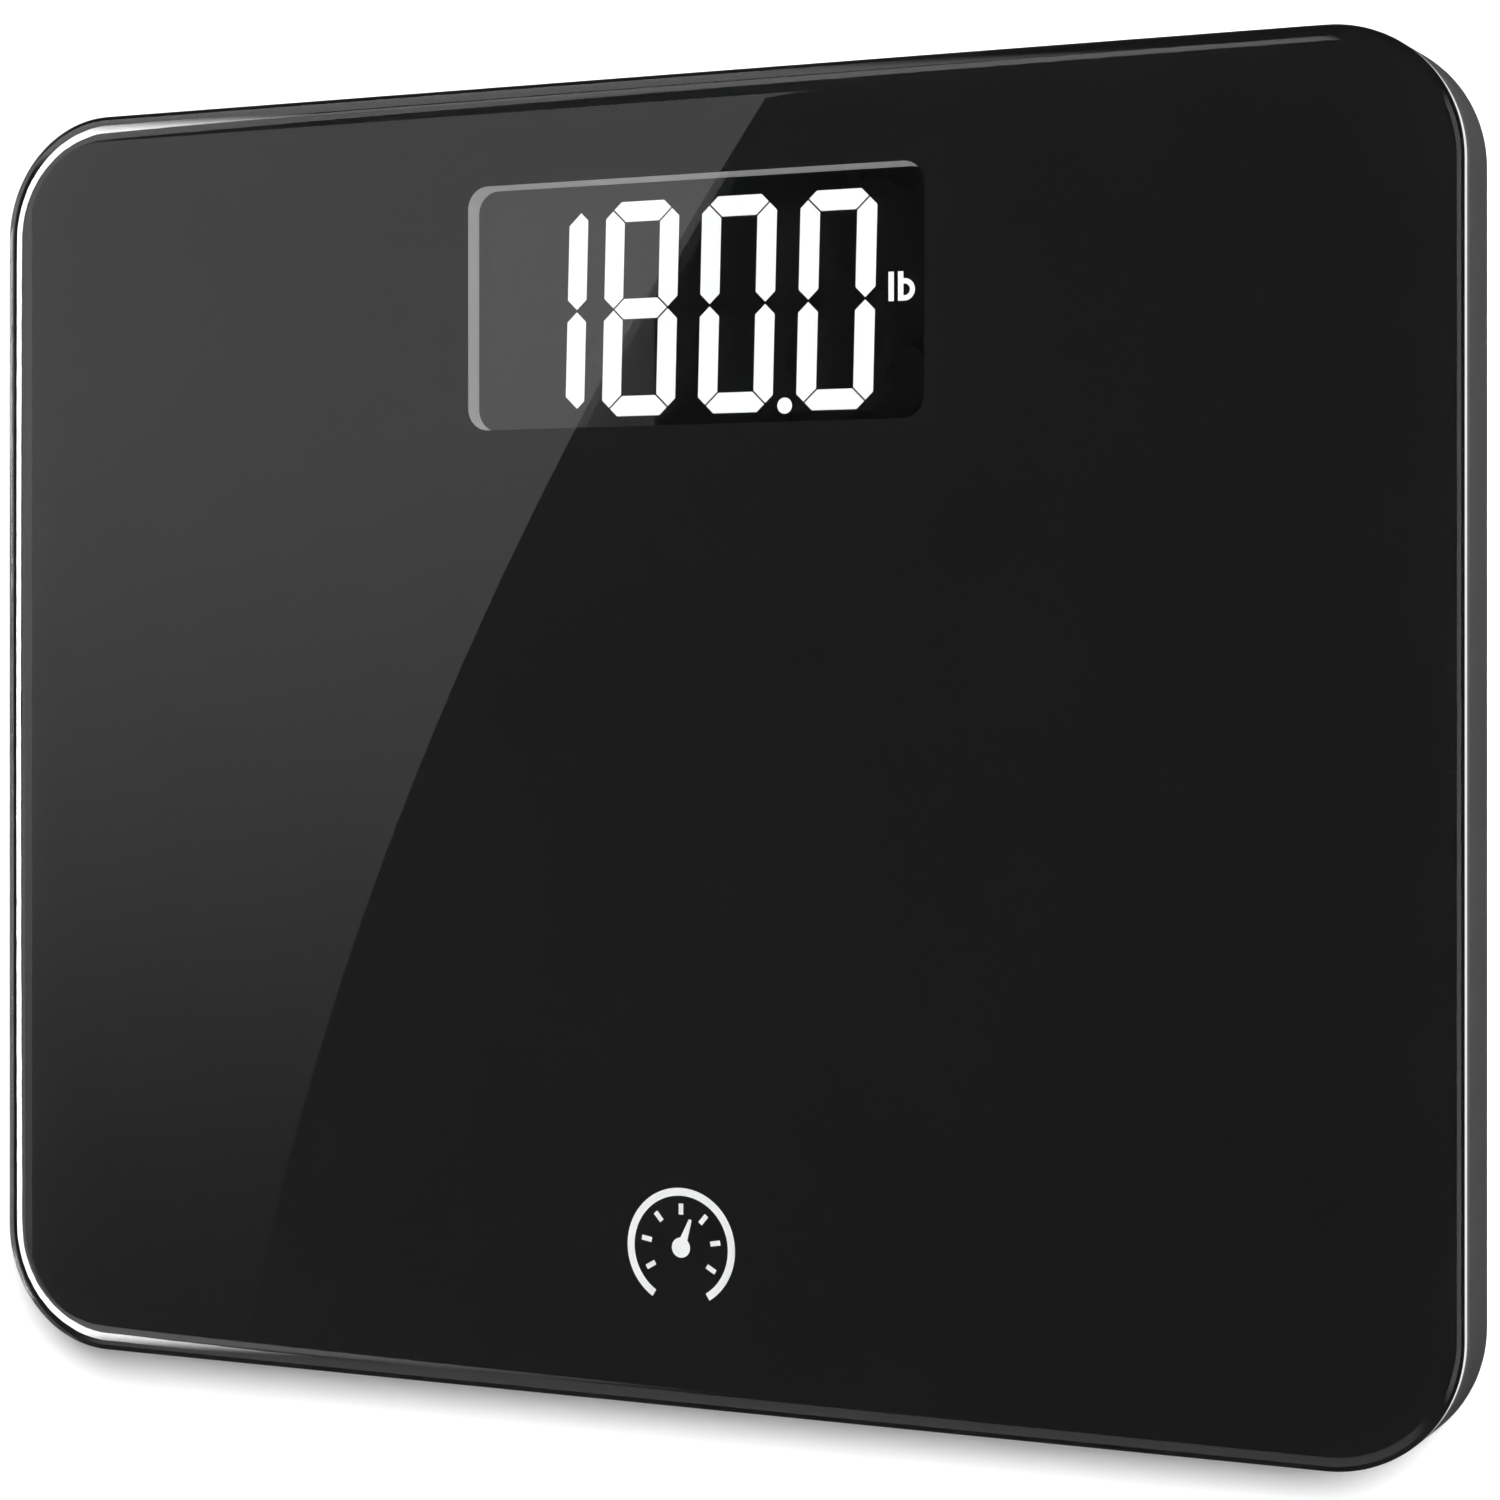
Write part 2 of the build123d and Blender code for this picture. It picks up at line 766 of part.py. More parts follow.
def make_lcd_frame():
    """White light box that clamps the panel to the board."""
    board_top = board_bottom + board_thickness
    outer = rounded_plate(frame_width, frame_depth, 3.0, board_top, panel_top, display_center)
    clear_x = panel_width / 2 + 0.2
    clear_y = panel_depth / 2 + 0.2
    inner_x = (display_x - clear_x, display_x + clear_x)
    inner_y = (display_y - clear_y, display_y + clear_y)
    return outer - block(inner_x, inner_y, (board_top, panel_top))


def make_light_guide():
    board_top = board_bottom + board_thickness
    x = (display_x - 51.0, display_x + 54.0)
    y = (display_y - 27.5, display_y + 24.0)
    return block(x, y, (board_top + 0.1, panel_top - panel_thickness - 0.05))


def make_backlight_leds():
    board_top = board_bottom + board_thickness
    x = (display_x - 53.8, display_x - 51.3)
    leds = []
    for step in (-18.0, 0.0, 18.0):
        y = display_y + step
        leds.append(block(x, (y - 1.8, y + 1.8), (board_top, board_top + 1.3)))
    return group(leds)


def make_zebra_strip():
    board_top = board_bottom + board_thickness
    y = display_y + panel_depth / 2 - 2.4
    strips = []
    for step in range(9):
        x = display_x - 48.0 + 12.0 * step
        z = (board_top, panel_top - panel_thickness)
        strips.append(block((x - 5.6, x + 5.6), (y - 1.0, y + 1.0), z))
    return group(strips)


# ---- circuit board -------------------------------------------------------------------------
def make_board():
    board_top = board_bottom + board_thickness
    board = rounded_plate(board_width, board_depth, 3.0, board_bottom, board_top, display_center)
    for x, y in board_screw_places():
        board -= disc(x, y, screw_shank_radius + 0.2, board_bottom, board_top)
    return board


def chip(x, y, length, width, pins, rows):
    """Moulded chip under the board with bent legs on two or four sides."""
    top = board_bottom - 0.1
    low = top - 1.4
    body = block((x - length / 2, x + length / 2), (y - width / 2, y + width / 2), (low, top))
    pitch = (length - 1.6) / (pins - 1)
    leg_z = (board_bottom - 0.9, board_bottom)
    legs = []
    for index in range(pins):
        along = -length / 2 + 0.8 + pitch * index
        for end in (-1, 1):
            near, far = width / 2 - 0.1, width / 2 + 0.9
            leg_x = (x + along - 0.2, x + along + 0.2)
            legs.append(block(leg_x, (y + end * near, y + end * far), leg_z))
            if rows == 4:
                leg_y = (y + along - 0.2, y + along + 0.2)
                legs.append(block((x + end * near, x + end * far), leg_y, leg_z))
    return body + legs


def make_small_components():
    """Capacitors, resistors and the wire sockets under the board."""
    parts = []
    for index in range(5):
        x = -54.0 + 7.0 * index
        near = (display_y - 26.0, display_y - 24.4)
        parts.append(block((x, x + 3.2), near, (board_bottom - 1.2, board_bottom)))
    for index in range(6):
        x = 8.0 + 5.0 * index
        far = (display_y + 18.0, display_y + 19.3)
        parts.append(block((x, x + 2.0), far, (board_bottom - 0.6, board_bottom)))
    for x in (-40.0, -30.0):
        parts.append(disc(x, display_y + 20.0, 2.5, board_bottom - 3.2, board_bottom))
    return group(parts)


def make_switch_body():
    half = switch_side / 2
    z = (board_bottom - switch_height, board_bottom)
    body = block((switch_x - half, switch_x + half), (switch_y - half, switch_y + half), z)
    body = fillet(body.edges().filter_by(Axis.Z), 0.4)
    return body - disc(switch_x, switch_y, plunger_radius + 0.3, z[0], z[1] - 0.3)


def make_switch_plunger():
    low = board_bottom - switch_height - 0.5
    return disc(switch_x, switch_y, plunger_radius, low, board_bottom - 1.1)


def make_unit_button():
    """Button cap with a retaining flange above the tray floor."""
    flange_low = tray_floor_top + 0.35
    cap = disc(switch_x, switch_y, button_radius, tray_bottom + 0.2, flange_low)
    cap = fillet(cap.edges().filter_by(GeomType.CIRCLE).sort_by(Axis.Z)[0], 0.5)
    return cap + disc(switch_x, switch_y, button_radius + 1.6, flange_low, flange_low + 0.8)


# ---- battery bay ---------------------------------------------------------------------------
def battery_direction(index):
    return 1 if index % 2 == 0 else -1


def battery_center_y(index):
    return bay_y + (index - 1) * battery_pitch


def make_battery(index):
    """Cell lying along X, cap towards the flat contact."""
    facing = battery_direction(index)
    y = battery_center_y(index)
    tip = facing * (bay_length / 2 - 0.5)
    shoulder = tip - facing * battery_nub_length
    tail = tip - facing * battery_length
    can_length = abs(shoulder - tail)
    lying = Pos((shoulder + tail) / 2, y, battery_z) * Rot(0, 90, 0)
    can = lying * Cylinder(battery_radius, can_length)
    can = fillet(can.edges().filter_by(GeomType.CIRCLE), 0.5)
    nub = Pos((shoulder + tip) / 2, y, battery_z) * Rot(0, 90, 0)
    return can + nub * Cylinder(battery_nub_radius, battery_nub_length)


def contact_plate(x_wall, toward, y):
    """Thin metal plate on the end wall of the bay."""
    z = (battery_z - 4.6, battery_z + 4.6)
    return block((x_wall, x_wall + toward * 0.4), (y - 4.2, y + 4.2), z)


def make_battery_plates():
    plates = []
    for index in range(3):
        facing = battery_direction(index)
        plates.append(contact_plate(facing * bay_length / 2, -facing, battery_center_y(index)))
    return group(plates)


def make_battery_springs():
    springs = []
    coil_radius, coil_wire, coil_height = 3.0, 0.35, 5.4
    for index in range(3):
        facing = battery_direction(index)
        y = battery_center_y(index)
        wall = -facing * bay_length / 2
        plate = contact_plate(wall, facing, y)
        coil = Helix(1.6, coil_height, coil_radius)
        section = Plane(origin=coil @ 0, z_dir=coil % 0) * Circle(coil_wire)
        spring = sweep(section, path=coil, is_frenet=True)
        turn = Rot(0, 90 * facing, 0)
        springs.append(plate + Pos(wall + facing * 0.6, y, battery_z) * turn * spring)
    return group(springs)


def make_battery_wires():
    start_y = bay_y + bay_width / 2 + bay_wall + 0.05
    wires = []
    for x in (-17.0, -14.5):
        points = [
            (x, start_y, 8.9),
            (x, display_y - 22.0, 8.9),
            (x, display_y - 22.0, board_bottom),
        ]
        wires.append(wire_along(points, 0.6, 1.0))
    return group(wires)


def make_door():
    """Battery door: two hinge tabs at the back edge, a bowed latch at the front edge."""
    half = door_length / 2
    rear = bay_y - door_rear
    front = bay_y + door_front
    top = tray_bottom + door_thickness
    door = block((-half, half), (rear, front), (tray_bottom, top))
    door = fillet(door.edges().filter_by(Axis.Z), 1.5)
    for x in (-tab_x, tab_x):
        tab = (x - tab_width / 2, x + tab_width / 2)
        door += block(tab, (rear + 0.3, rear + 2.3), (top, 7.6))
        door += block(tab, (rear - 2.4, rear + 2.3), (6.4, 7.6))
    grip = latch_width / 2
    door -= block((-grip - 0.6, grip + 0.6), (front - 2.2, front), (tray_bottom, top))
    door += block((-grip, grip), (front - 3.6, front - 2.6), (top, 10.0))
    door += block((-grip, grip), (front - 3.6, front - 0.6), (9.0, 10.0))
    door += block((-grip, grip), (front - 1.6, front - 0.6), (tray_bottom + 0.4, 9.0))
    door += block((-grip, grip), (front - 1.6, front - 0.1), (6.5, 7.3))
    for index in range(5):
        y = rear + 10.0 + 3.0 * index
        door -= block((-9.0, 9.0), (y, y + 1.0), (tray_bottom, tray_bottom + 0.5))
    return door


def make_label():
    """Blank label in its recess."""
    z = (tray_bottom + 0.15, tray_bottom + 0.3)
    return rounded_plate(label_width, label_depth, 1.6, *z, label_center)


# ---- build ---------------------------------------------------------------------------------
def make_all():
    mark = dial_mark(print_bottom, glass_bottom)
    parts = {
        "glass_platform": make_glass(),
        "back_print": make_back_print(mark),
        "dial_mark": mark,
        "perimeter_tape": make_tape(),
        "base_tray": make_tray(),
        "holder_pads": make_holder_pads(),
        "wire_clips": make_wire_clips(),
        "tray_screws": make_tray_screws(),
        "display_bezel": make_bezel(),
        "lcd_panel": make_panel(),
        "lcd_digits": make_digits(),
        "lcd_point": make_point(),
        "lcd_unit_sign": make_unit_sign(),
        "lcd_frame": make_lcd_frame(),
        "light_guide": make_light_guide(),
        "backlight_leds": make_backlight_leds(),
        "zebra_strip": make_zebra_strip(),
        "main_board": make_board(),
        "controller_chip": chip(-18.0, display_y + 2.0, 12.0, 12.0, 8, 4),
        "amplifier_chip": chip(18.0, display_y - 6.0, 10.0, 4.0, 8, 2),
        "small_components": make_small_components(),
        "board_screws": make_board_screws(),
        "switch_body": make_switch_body(),
        "switch_plunger": make_switch_plunger(),
        "unit_button": make_unit_button(),
        "battery_door": make_door(),
        "battery_plates": make_battery_plates(),
        "battery_springs": make_battery_springs(),
        "battery_wires": make_battery_wires(),
        "rating_label": make_label(),
    }
    for index in range(3):
        parts[f"battery_cell_{index + 1}"] = make_battery(index)
    for name in corners:
        x, y = foot_center(name)
        parts[f"foot_pad_{name}"] = make_foot_pad(x, y)
        parts[f"foot_cup_{name}"] = make_foot_cup(x, y)
        parts[f"cell_holder_{name}"] = make_cell_holder(name)
        parts[f"load_cell_{name}"] = make_load_cell(name)
        parts[f"strain_gauge_{name}"] = make_strain_gauge(name)
        parts[f"lead_wires_{name}"] = make_lead_wires(name)
    return parts


def write_parts(parts):
    os.makedirs("parts", exist_ok=True)
    for node, shape in parts.items():
        shape.label = node
        export_step(shape, f"parts/{node}.step")


write_parts(make_all())
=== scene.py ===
import math
import bpy
import bmesh
from mathutils import Matrix, Vector


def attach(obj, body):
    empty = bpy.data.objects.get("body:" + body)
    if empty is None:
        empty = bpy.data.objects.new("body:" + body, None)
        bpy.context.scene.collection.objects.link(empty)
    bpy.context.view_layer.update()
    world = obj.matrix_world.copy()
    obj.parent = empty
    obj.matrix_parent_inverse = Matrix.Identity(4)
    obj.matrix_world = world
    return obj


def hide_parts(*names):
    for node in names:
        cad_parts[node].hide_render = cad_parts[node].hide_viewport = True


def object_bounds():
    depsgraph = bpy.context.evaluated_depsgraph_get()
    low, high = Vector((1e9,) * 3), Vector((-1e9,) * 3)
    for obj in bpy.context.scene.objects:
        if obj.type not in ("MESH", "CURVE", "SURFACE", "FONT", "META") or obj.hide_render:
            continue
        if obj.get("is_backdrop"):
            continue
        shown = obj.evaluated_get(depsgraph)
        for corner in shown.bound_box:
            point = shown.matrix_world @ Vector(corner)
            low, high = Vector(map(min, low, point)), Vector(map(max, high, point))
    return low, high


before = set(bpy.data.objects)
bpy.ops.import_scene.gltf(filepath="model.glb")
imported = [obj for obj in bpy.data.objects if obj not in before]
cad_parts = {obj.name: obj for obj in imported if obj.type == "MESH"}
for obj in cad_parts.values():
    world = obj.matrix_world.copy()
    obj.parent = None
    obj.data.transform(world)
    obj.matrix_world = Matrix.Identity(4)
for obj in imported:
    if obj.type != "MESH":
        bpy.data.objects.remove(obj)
cad_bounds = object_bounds()

# Sizes and places in millimetres: footprint (width, depth, corner radius), then heights and middles.
MM = 0.001
PLATFORM = (350.0, 290.0, 28.0)
GLASS_TOP = 27.0
GLASS_BOTTOM = 21.0
GROUND_BAND = (21.9, 23.8)
INK_BOTTOM, INK_TOP = 20.86, 21.06
TRAY_BOTTOM = 4.0
TRAY_FLOOR = 6.0
CORNERS = {"front_left": (-1, -1), "front_right": (1, -1), "rear_left": (-1, 1), "rear_right": (1, 1)}
FOOT = (137.0, 107.0)
DISPLAY = (4.7, 95.9)
WINDOW = (110.2, 54.5, 5.0)
PANEL_TOP = 15.9
BEZEL_SLOPE = 0.55
MARK_CENTER = (2.7, -110.5)
MARK_RADIUS = 13.0
LABEL_Y = -50.0
BUTTON_SPOT = (40.0, 72.0)
BAY_Y = 10.0
CELL_PITCH = 11.2
CELL_HEIGHT = 12.0


# ---------------------------------------------------------------- mesh helpers
def rounded_loop(width, depth, radius, steps=20, y=0.0, x=0.0):
    """Points of a rounded rectangle, anticlockwise from the right side's upper arc."""
    points = []
    for quarter, (sx, sy) in enumerate([(1, 1), (-1, 1), (-1, -1), (1, -1)]):
        cx = x + sx * (width / 2 - radius)
        cy = y + sy * (depth / 2 - radius)
        for step in range(steps + 1):
            angle = math.radians(90 * (quarter + step / steps))
            points.append((cx + radius * math.cos(angle), cy + radius * math.sin(angle)))
    return points


def circle_loop(x, y, radius, steps=64):
    turn = 2 * math.pi / steps
    return [(x + radius * math.cos(i * turn), y + radius * math.sin(i * turn)) for i in range(steps)]


def ring(bm, loop, z):
    return [bm.verts.new((x * MM, y * MM, z * MM)) for x, y in loop]


def bridge(bm, low, high):
    count = len(low)
    for i in range(count):
        j = (i + 1) % count
        bm.faces.new((low[i], low[j], high[j], high[i]))


def loft(bm, rings):
    """Joins rings of vertices in order."""
    for low, high in zip(rings, rings[1:]):
        bridge(bm, low, high)
    return rings


def arc(cx, cz, rx, rz, start, end, steps):
    """Profile points (inset or radius, height) along an ellipse."""
    points = []
    for i in range(steps + 1):
        angle = math.radians(start + (end - start) * i / steps)
        points.append((cx + rx * math.cos(angle), cz + rz * math.sin(angle)))
    return points


def platform_rings(bm, profile, steps=28):
    """Rings that follow the platform's outline, each (inset, height)."""
    width, depth, radius = PLATFORM
    rings = []
    for inset, z in profile:
        loop = rounded_loop(width - 2 * inset, depth - 2 * inset, radius - inset, steps)
        rings.append(ring(bm, loop, z))
    return rings


def lathe_rings(bm, x, y, profile, steps=64):
    return [ring(bm, circle_loop(x, y, radius, steps), z) for radius, z in profile]


def closed(bm, rings):
    """Joins rings in order and caps both ends."""
    loft(bm, rings)
    bm.faces.new(rings[0])
    bm.faces.new(rings[-1])


def prism(bm, outline, left, right):
    """Closed solid between two X positions, with an outline of (y, z) points."""
    closed(bm, [[bm.verts.new((x * MM, y * MM, z * MM)) for y, z in outline] for x in (left, right)])


def finish_mesh(bm, name, body, material, replaces=(), smooth=38.0, bevel=0.0):
    """Makes the object, shades it and hangs it on its body."""
    bmesh.ops.remove_doubles(bm, verts=bm.verts, dist=1e-7)
    bmesh.ops.recalc_face_normals(bm, faces=bm.faces)
    mesh = bpy.data.meshes.new(name)
    bm.to_mesh(mesh)
    bm.free()
    obj = bpy.data.objects.new(name, mesh)
    bpy.context.scene.collection.objects.link(obj)
    mesh.materials.append(material)
    if bevel:
        add_bevel(obj, bevel)
    shade(obj, smooth)
    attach(obj, body)
    if replaces:
        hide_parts(*replaces)
    return obj


def add_bevel(obj, width_mm, segments=3):
    bevel = obj.modifiers.new("edge", "BEVEL")
    bevel.width = width_mm * MM
    bevel.segments = segments
    bevel.limit_method = "ANGLE"
    bevel.angle_limit = math.radians(40)
    bevel.harden_normals = False
    apply_modifiers(obj)


def apply_modifiers(obj):
    bpy.context.view_layer.update()
    graph = bpy.context.evaluated_depsgraph_get()
    made = bpy.data.meshes.new_from_object(obj.evaluated_get(graph))
    obj.modifiers.clear()
    obj.data = made


def shade(obj, angle):
    mesh = obj.data
    mesh.shade_smooth()
    mesh.set_sharp_from_angle(angle=math.radians(angle))


def add_box(bm, x, y, z):
    """Closed box between limits in millimetres."""
    corners = [bm.verts.new((a * MM, b * MM, c * MM)) for c in z for b in y for a in x]
    faces = [(0, 2, 3, 1), (4, 5, 7, 6), (0, 1, 5, 4), (2, 6, 7, 3), (0, 4, 6, 2), (1, 3, 7, 5)]
    for face in faces:
        bm.faces.new([corners[i] for i in face])


def cut_boxes(obj, boxes, angle):
    """Cuts boxes, each given by its limits in millimetres, out of an object."""
    bm = bmesh.new()
    for box in boxes:
        add_box(bm, *box)
    bmesh.ops.recalc_face_normals(bm, faces=bm.faces)
    mesh = bpy.data.meshes.new("cutter")
    bm.to_mesh(mesh)
    bm.free()
    cutter = bpy.data.objects.new("cutter", mesh)
    bpy.context.scene.collection.objects.link(cutter)
    cut = obj.modifiers.new("cut", "BOOLEAN")
    cut.object = cutter
    cut.operation = "DIFFERENCE"
    cut.solver = "EXACT"
    apply_modifiers(obj)
    bpy.data.objects.remove(cutter)
    shade(obj, angle)


def flat_with_holes(bm, loops):
    """Fills the flat region between an outer ring and the hole rings inside it."""
    edges = []
    for verts in loops:
        for i, vert in enumerate(verts):
            other = verts[(i + 1) % len(verts)]
            edges.append(bm.edges.get((vert, other)) or bm.edges.new((vert, other)))
    bmesh.ops.triangle_fill(bm, use_beauty=True, use_dissolve=False, edges=edges)


# ---------------------------------------------------------------- materials
def new_material(name):
    material = bpy.data.materials.new(name)
    material.use_nodes = True
    tree = material.node_tree
    shader = tree.nodes["Principled BSDF"]
    return material, tree, shader


def noise_node(tree, scale, detail=4.0, rough=0.55):
    coords = tree.nodes.new("ShaderNodeTexCoord")
    noise = tree.nodes.new("ShaderNodeTexNoise")
    noise.inputs["Scale"].default_value = scale
    noise.inputs["Detail"].default_value = detail
    noise.inputs["Roughness"].default_value = rough
    tree.links.new(coords.outputs["Object"], noise.inputs["Vector"])
    return noise


def ramp_node(tree, source, low, high, start=0.3, end=0.7):
    ramp = tree.nodes.new("ShaderNodeValToRGB")
    ramp.color_ramp.elements[0].position = start
    ramp.color_ramp.elements[1].position = end
    ramp.color_ramp.elements[0].color = (*low, 1)
    ramp.color_ramp.elements[1].color = (*high, 1)
    tree.links.new(source, ramp.inputs["Fac"])
    return ramp


def range_node(tree, source, low, high):
    spread = tree.nodes.new("ShaderNodeMapRange")
    spread.inputs["To Min"].default_value = low
    spread.inputs["To Max"].default_value = high
    tree.links.new(source, spread.inputs["Value"])
    return spread


def facing_node(tree, output, aim):
    """Texture coordinate measured along a direction."""
    coords = tree.nodes.new("ShaderNodeTexCoord")
    along = tree.nodes.new("ShaderNodeVectorMath")
    along.operation = "DOT_PRODUCT"
    along.inputs[1].default_value = aim
    tree.links.new(coords.outputs[output], along.inputs[0])
    return along


def surface(name, color, rough=0.5, metallic=0.0, specular=0.5, spread=0.12, grain=0.0,
            grain_scale=2600.0, wear_scale=38.0, rough_spread=0.06, coat=0.0):
    """Moulded or metal surface: soft colour variation, uneven gloss and an optional grain."""
    material, tree, shader = new_material(name)
    broad = noise_node(tree, wear_scale)
    low = tuple(max(0.0, c * (1 - spread)) for c in color)
    high = tuple(min(1.0, c * (1 + spread)) for c in color)
    tint = ramp_node(tree, broad.outputs["Fac"], low, high)
    tree.links.new(tint.outputs["Color"], shader.inputs["Base Color"])
    smoothest, roughest = max(0.0, rough - rough_spread), min(1.0, rough + rough_spread)
    gloss = range_node(tree, broad.outputs["Fac"], smoothest, roughest)
    tree.links.new(gloss.outputs["Result"], shader.inputs["Roughness"])
    shader.inputs["Metallic"].default_value = metallic
    shader.inputs["Specular IOR Level"].default_value = specular
    shader.inputs["Coat Weight"].default_value = coat
    if grain:
        fine = noise_node(tree, grain_scale, 2.0, 0.5)
        bump = tree.nodes.new("ShaderNodeBump")
        bump.inputs["Strength"].default_value = grain
        bump.inputs["Distance"].default_value = 0.0002
        tree.links.new(fine.outputs["Fac"], bump.inputs["Height"])
        tree.links.new(bump.outputs["Normal"], shader.inputs["Normal"])
    return material


def brushed(name, color, rough=0.28):
    """Metal with fine lengthwise brushing."""
    material, tree, shader = new_material(name)
    coords = tree.nodes.new("ShaderNodeTexCoord")
    stretch = tree.nodes.new("ShaderNodeMapping")
    stretch.inputs["Scale"].default_value = (60.0, 2400.0, 2400.0)
    lines = tree.nodes.new("ShaderNodeTexNoise")
    lines.inputs["Scale"].default_value = 1.0
    lines.inputs["Detail"].default_value = 3.0
    tree.links.new(coords.outputs["Object"], stretch.inputs["Vector"])
    tree.links.new(stretch.outputs["Vector"], lines.inputs["Vector"])
    tint = ramp_node(tree, lines.outputs["Fac"], tuple(c * 0.85 for c in color), color)
    tree.links.new(tint.outputs["Color"], shader.inputs["Base Color"])
    gloss = range_node(tree, lines.outputs["Fac"], rough - 0.08, rough + 0.14)
    tree.links.new(gloss.outputs["Result"], shader.inputs["Roughness"])
    shader.inputs["Metallic"].default_value = 1.0
    return material


def glowing(name, color, strength, variation=0.04):
    """Surface that glows evenly, painted light standing in for light falling on it, with a trace of
    unevenness.
    """
    material, tree, shader = new_material(name)
    broad = noise_node(tree, 60.0)
    low = tuple(c * (1 - variation) for c in color)
    tint = ramp_node(tree, broad.outputs["Fac"], low, color)
    tree.links.new(tint.outputs["Color"], shader.inputs["Base Color"])
    tree.links.new(tint.outputs["Color"], shader.inputs["Emission Color"])
    shader.inputs["Emission Strength"].default_value = strength
    shader.inputs["Roughness"].default_value = 0.45
    return material


def glowing_toward(name, body, color, strength, aim, start, end):
    """Dark body whose faces light up as they turn towards one side of the object."""
    material, tree, shader = new_material(name)
    broad = noise_node(tree, 60.0)
    shade_of = ramp_node(tree, broad.outputs["Fac"], tuple(c * 0.9 for c in body), body)
    tree.links.new(shade_of.outputs["Color"], shader.inputs["Base Color"])
    tint = ramp_node(tree, broad.outputs["Fac"], tuple(c * 0.99 for c in color), color)
    tree.links.new(tint.outputs["Color"], shader.inputs["Emission Color"])
    turned = facing_node(tree, "Normal", aim)
    rise = range_node(tree, turned.outputs["Value"], 0.0, strength)
    rise.inputs["From Min"].default_value = start
    rise.inputs["From Max"].default_value = end
    tree.links.new(rise.outputs["Result"], shader.inputs["Emission Strength"])
    shader.inputs["Roughness"].default_value = 0.45
    return material


def clear_glass(name, color, ior=1.5):
    """Clear glass or acrylic with a trace of unevenness in tint and gloss."""
    material, tree, shader = new_material(name)
    broad = noise_node(tree, 9.0, 2.0)
    gloss = range_node(tree, broad.outputs["Fac"], 0.0, 0.012)
    tree.links.new(gloss.outputs["Result"], shader.inputs["Roughness"])
    low = tuple(c * 0.985 for c in color)
    tint = ramp_node(tree, broad.outputs["Fac"], low, color)
    tree.links.new(tint.outputs["Color"], shader.inputs["Base Color"])
    shader.inputs["Transmission Weight"].default_value = 1.0
    shader.inputs["IOR"].default_value = ior
    return material


GLASS = clear_glass("tempered_glass", (0.97, 0.985, 0.98))
# Ground edge: dark on most sides, and glowing as its faces turn to +X. The glow is a painted highlight
# that stands in for light falling from the right.
GROUND_EDGE_PAINTED_HIGHLIGHT = glowing_toward("ground_glass_edge_painted_highlight", (0.05, 0.06, 0.055), (0.86, 0.88, 0.87), 0.9,
                             (1, 0, 0), 0.5, 0.95)
INK = surface("black_ink", (0.0088, 0.0088, 0.0091), rough=0.6, specular=0.0, spread=0.04)
# Grey print: its colour is the ink's own, and its emission of 0.35 is painted light that makes it
# brighter than the lamps alone would.
MARK_INK_PAINTED_GLOW = glowing("grey_ink_painted_glow", (0.70, 0.70, 0.70), 0.35, 0.02)
TAPE = surface("foam_tape", (0.02, 0.02, 0.02), rough=0.9, specular=0.2, grain=0.5)
TRAY = surface("tray_abs", (0.052, 0.052, 0.053), rough=0.48, specular=0.3, spread=0.035, grain=0.35)
DOOR = surface("door_abs", (0.034, 0.034, 0.036), rough=0.45, spread=0.1, grain=0.45)
BUTTON = surface("button_abs", (0.085, 0.085, 0.09), rough=0.3, spread=0.05, grain=0.12)
CUP = surface("foot_abs", (0.045, 0.045, 0.046), rough=0.4, spread=0.1, grain=0.3)
RUBBER = surface("foot_rubber", (0.018, 0.018, 0.018), rough=0.78, specular=0.35, spread=0.15, grain=0.6)
STEEL = brushed("zinc_steel", (0.62, 0.62, 0.63), 0.3)
PLATE_STEEL = brushed("load_cell_steel", (0.55, 0.55, 0.56), 0.26)
CONTACT = brushed("nickel_contact", (0.72, 0.70, 0.66), 0.2)
# Grey bezel walls: the emission of 1.2 is painted light that stands in for the light reaching them
# through the glass.
BEZEL_PAINTED_LIGHT = glowing("bezel_grey_painted_light", (0.15, 0.15, 0.15), 1.2, 0.03)
PANEL = surface("display_glass", (0.0026, 0.0026, 0.0029), rough=0.012, specular=0.1, spread=0.1,
                rough_spread=0.004)
LIT = glowing_toward("lit_white", (0.02, 0.02, 0.02), (1.0, 1.0, 1.0), 1.06, (0, 0, 1), 0.5, 0.9)
WHITE_ABS = surface("white_abs", (0.78, 0.78, 0.76), rough=0.5, spread=0.04, grain=0.2)
NYLON = surface("natural_nylon", (0.72, 0.72, 0.68), rough=0.5, spread=0.05)
ACRYLIC = clear_glass("guide_acrylic", (0.95, 0.97, 0.99), 1.49)
LED = surface("led_package", (0.90, 0.82, 0.45), rough=0.3, spread=0.05)
ZEBRA = surface("zebra_rubber", (0.30, 0.30, 0.31), rough=0.7, spread=0.3, wear_scale=900.0)
BOARD = surface("solder_mask", (0.02, 0.14, 0.06), rough=0.25, spread=0.15, wear_scale=200.0)
EPOXY = surface("chip_epoxy", (0.025, 0.025, 0.026), rough=0.55, spread=0.1, grain=0.2)
CERAMIC = surface("component_ceramic", (0.40, 0.30, 0.20), rough=0.4, spread=0.2, wear_scale=300.0)
SILICONE = surface("white_silicone", (0.80, 0.80, 0.77), rough=0.35, spread=0.05)
LEAD = surface("lead_insulation", (0.48, 0.07, 0.05), rough=0.35, spread=0.1)
LABEL = surface("label_film", (0.52, 0.52, 0.52), rough=0.35, metallic=0.3, spread=0.05, grain=0.08)
JACKET = surface("battery_jacket", (0.06, 0.16, 0.24), rough=0.25, spread=0.12, coat=0.4)


def paint(material, *names):
    for name in names:
        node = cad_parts[name]
        node.data.materials.clear()
        node.data.materials.append(material)


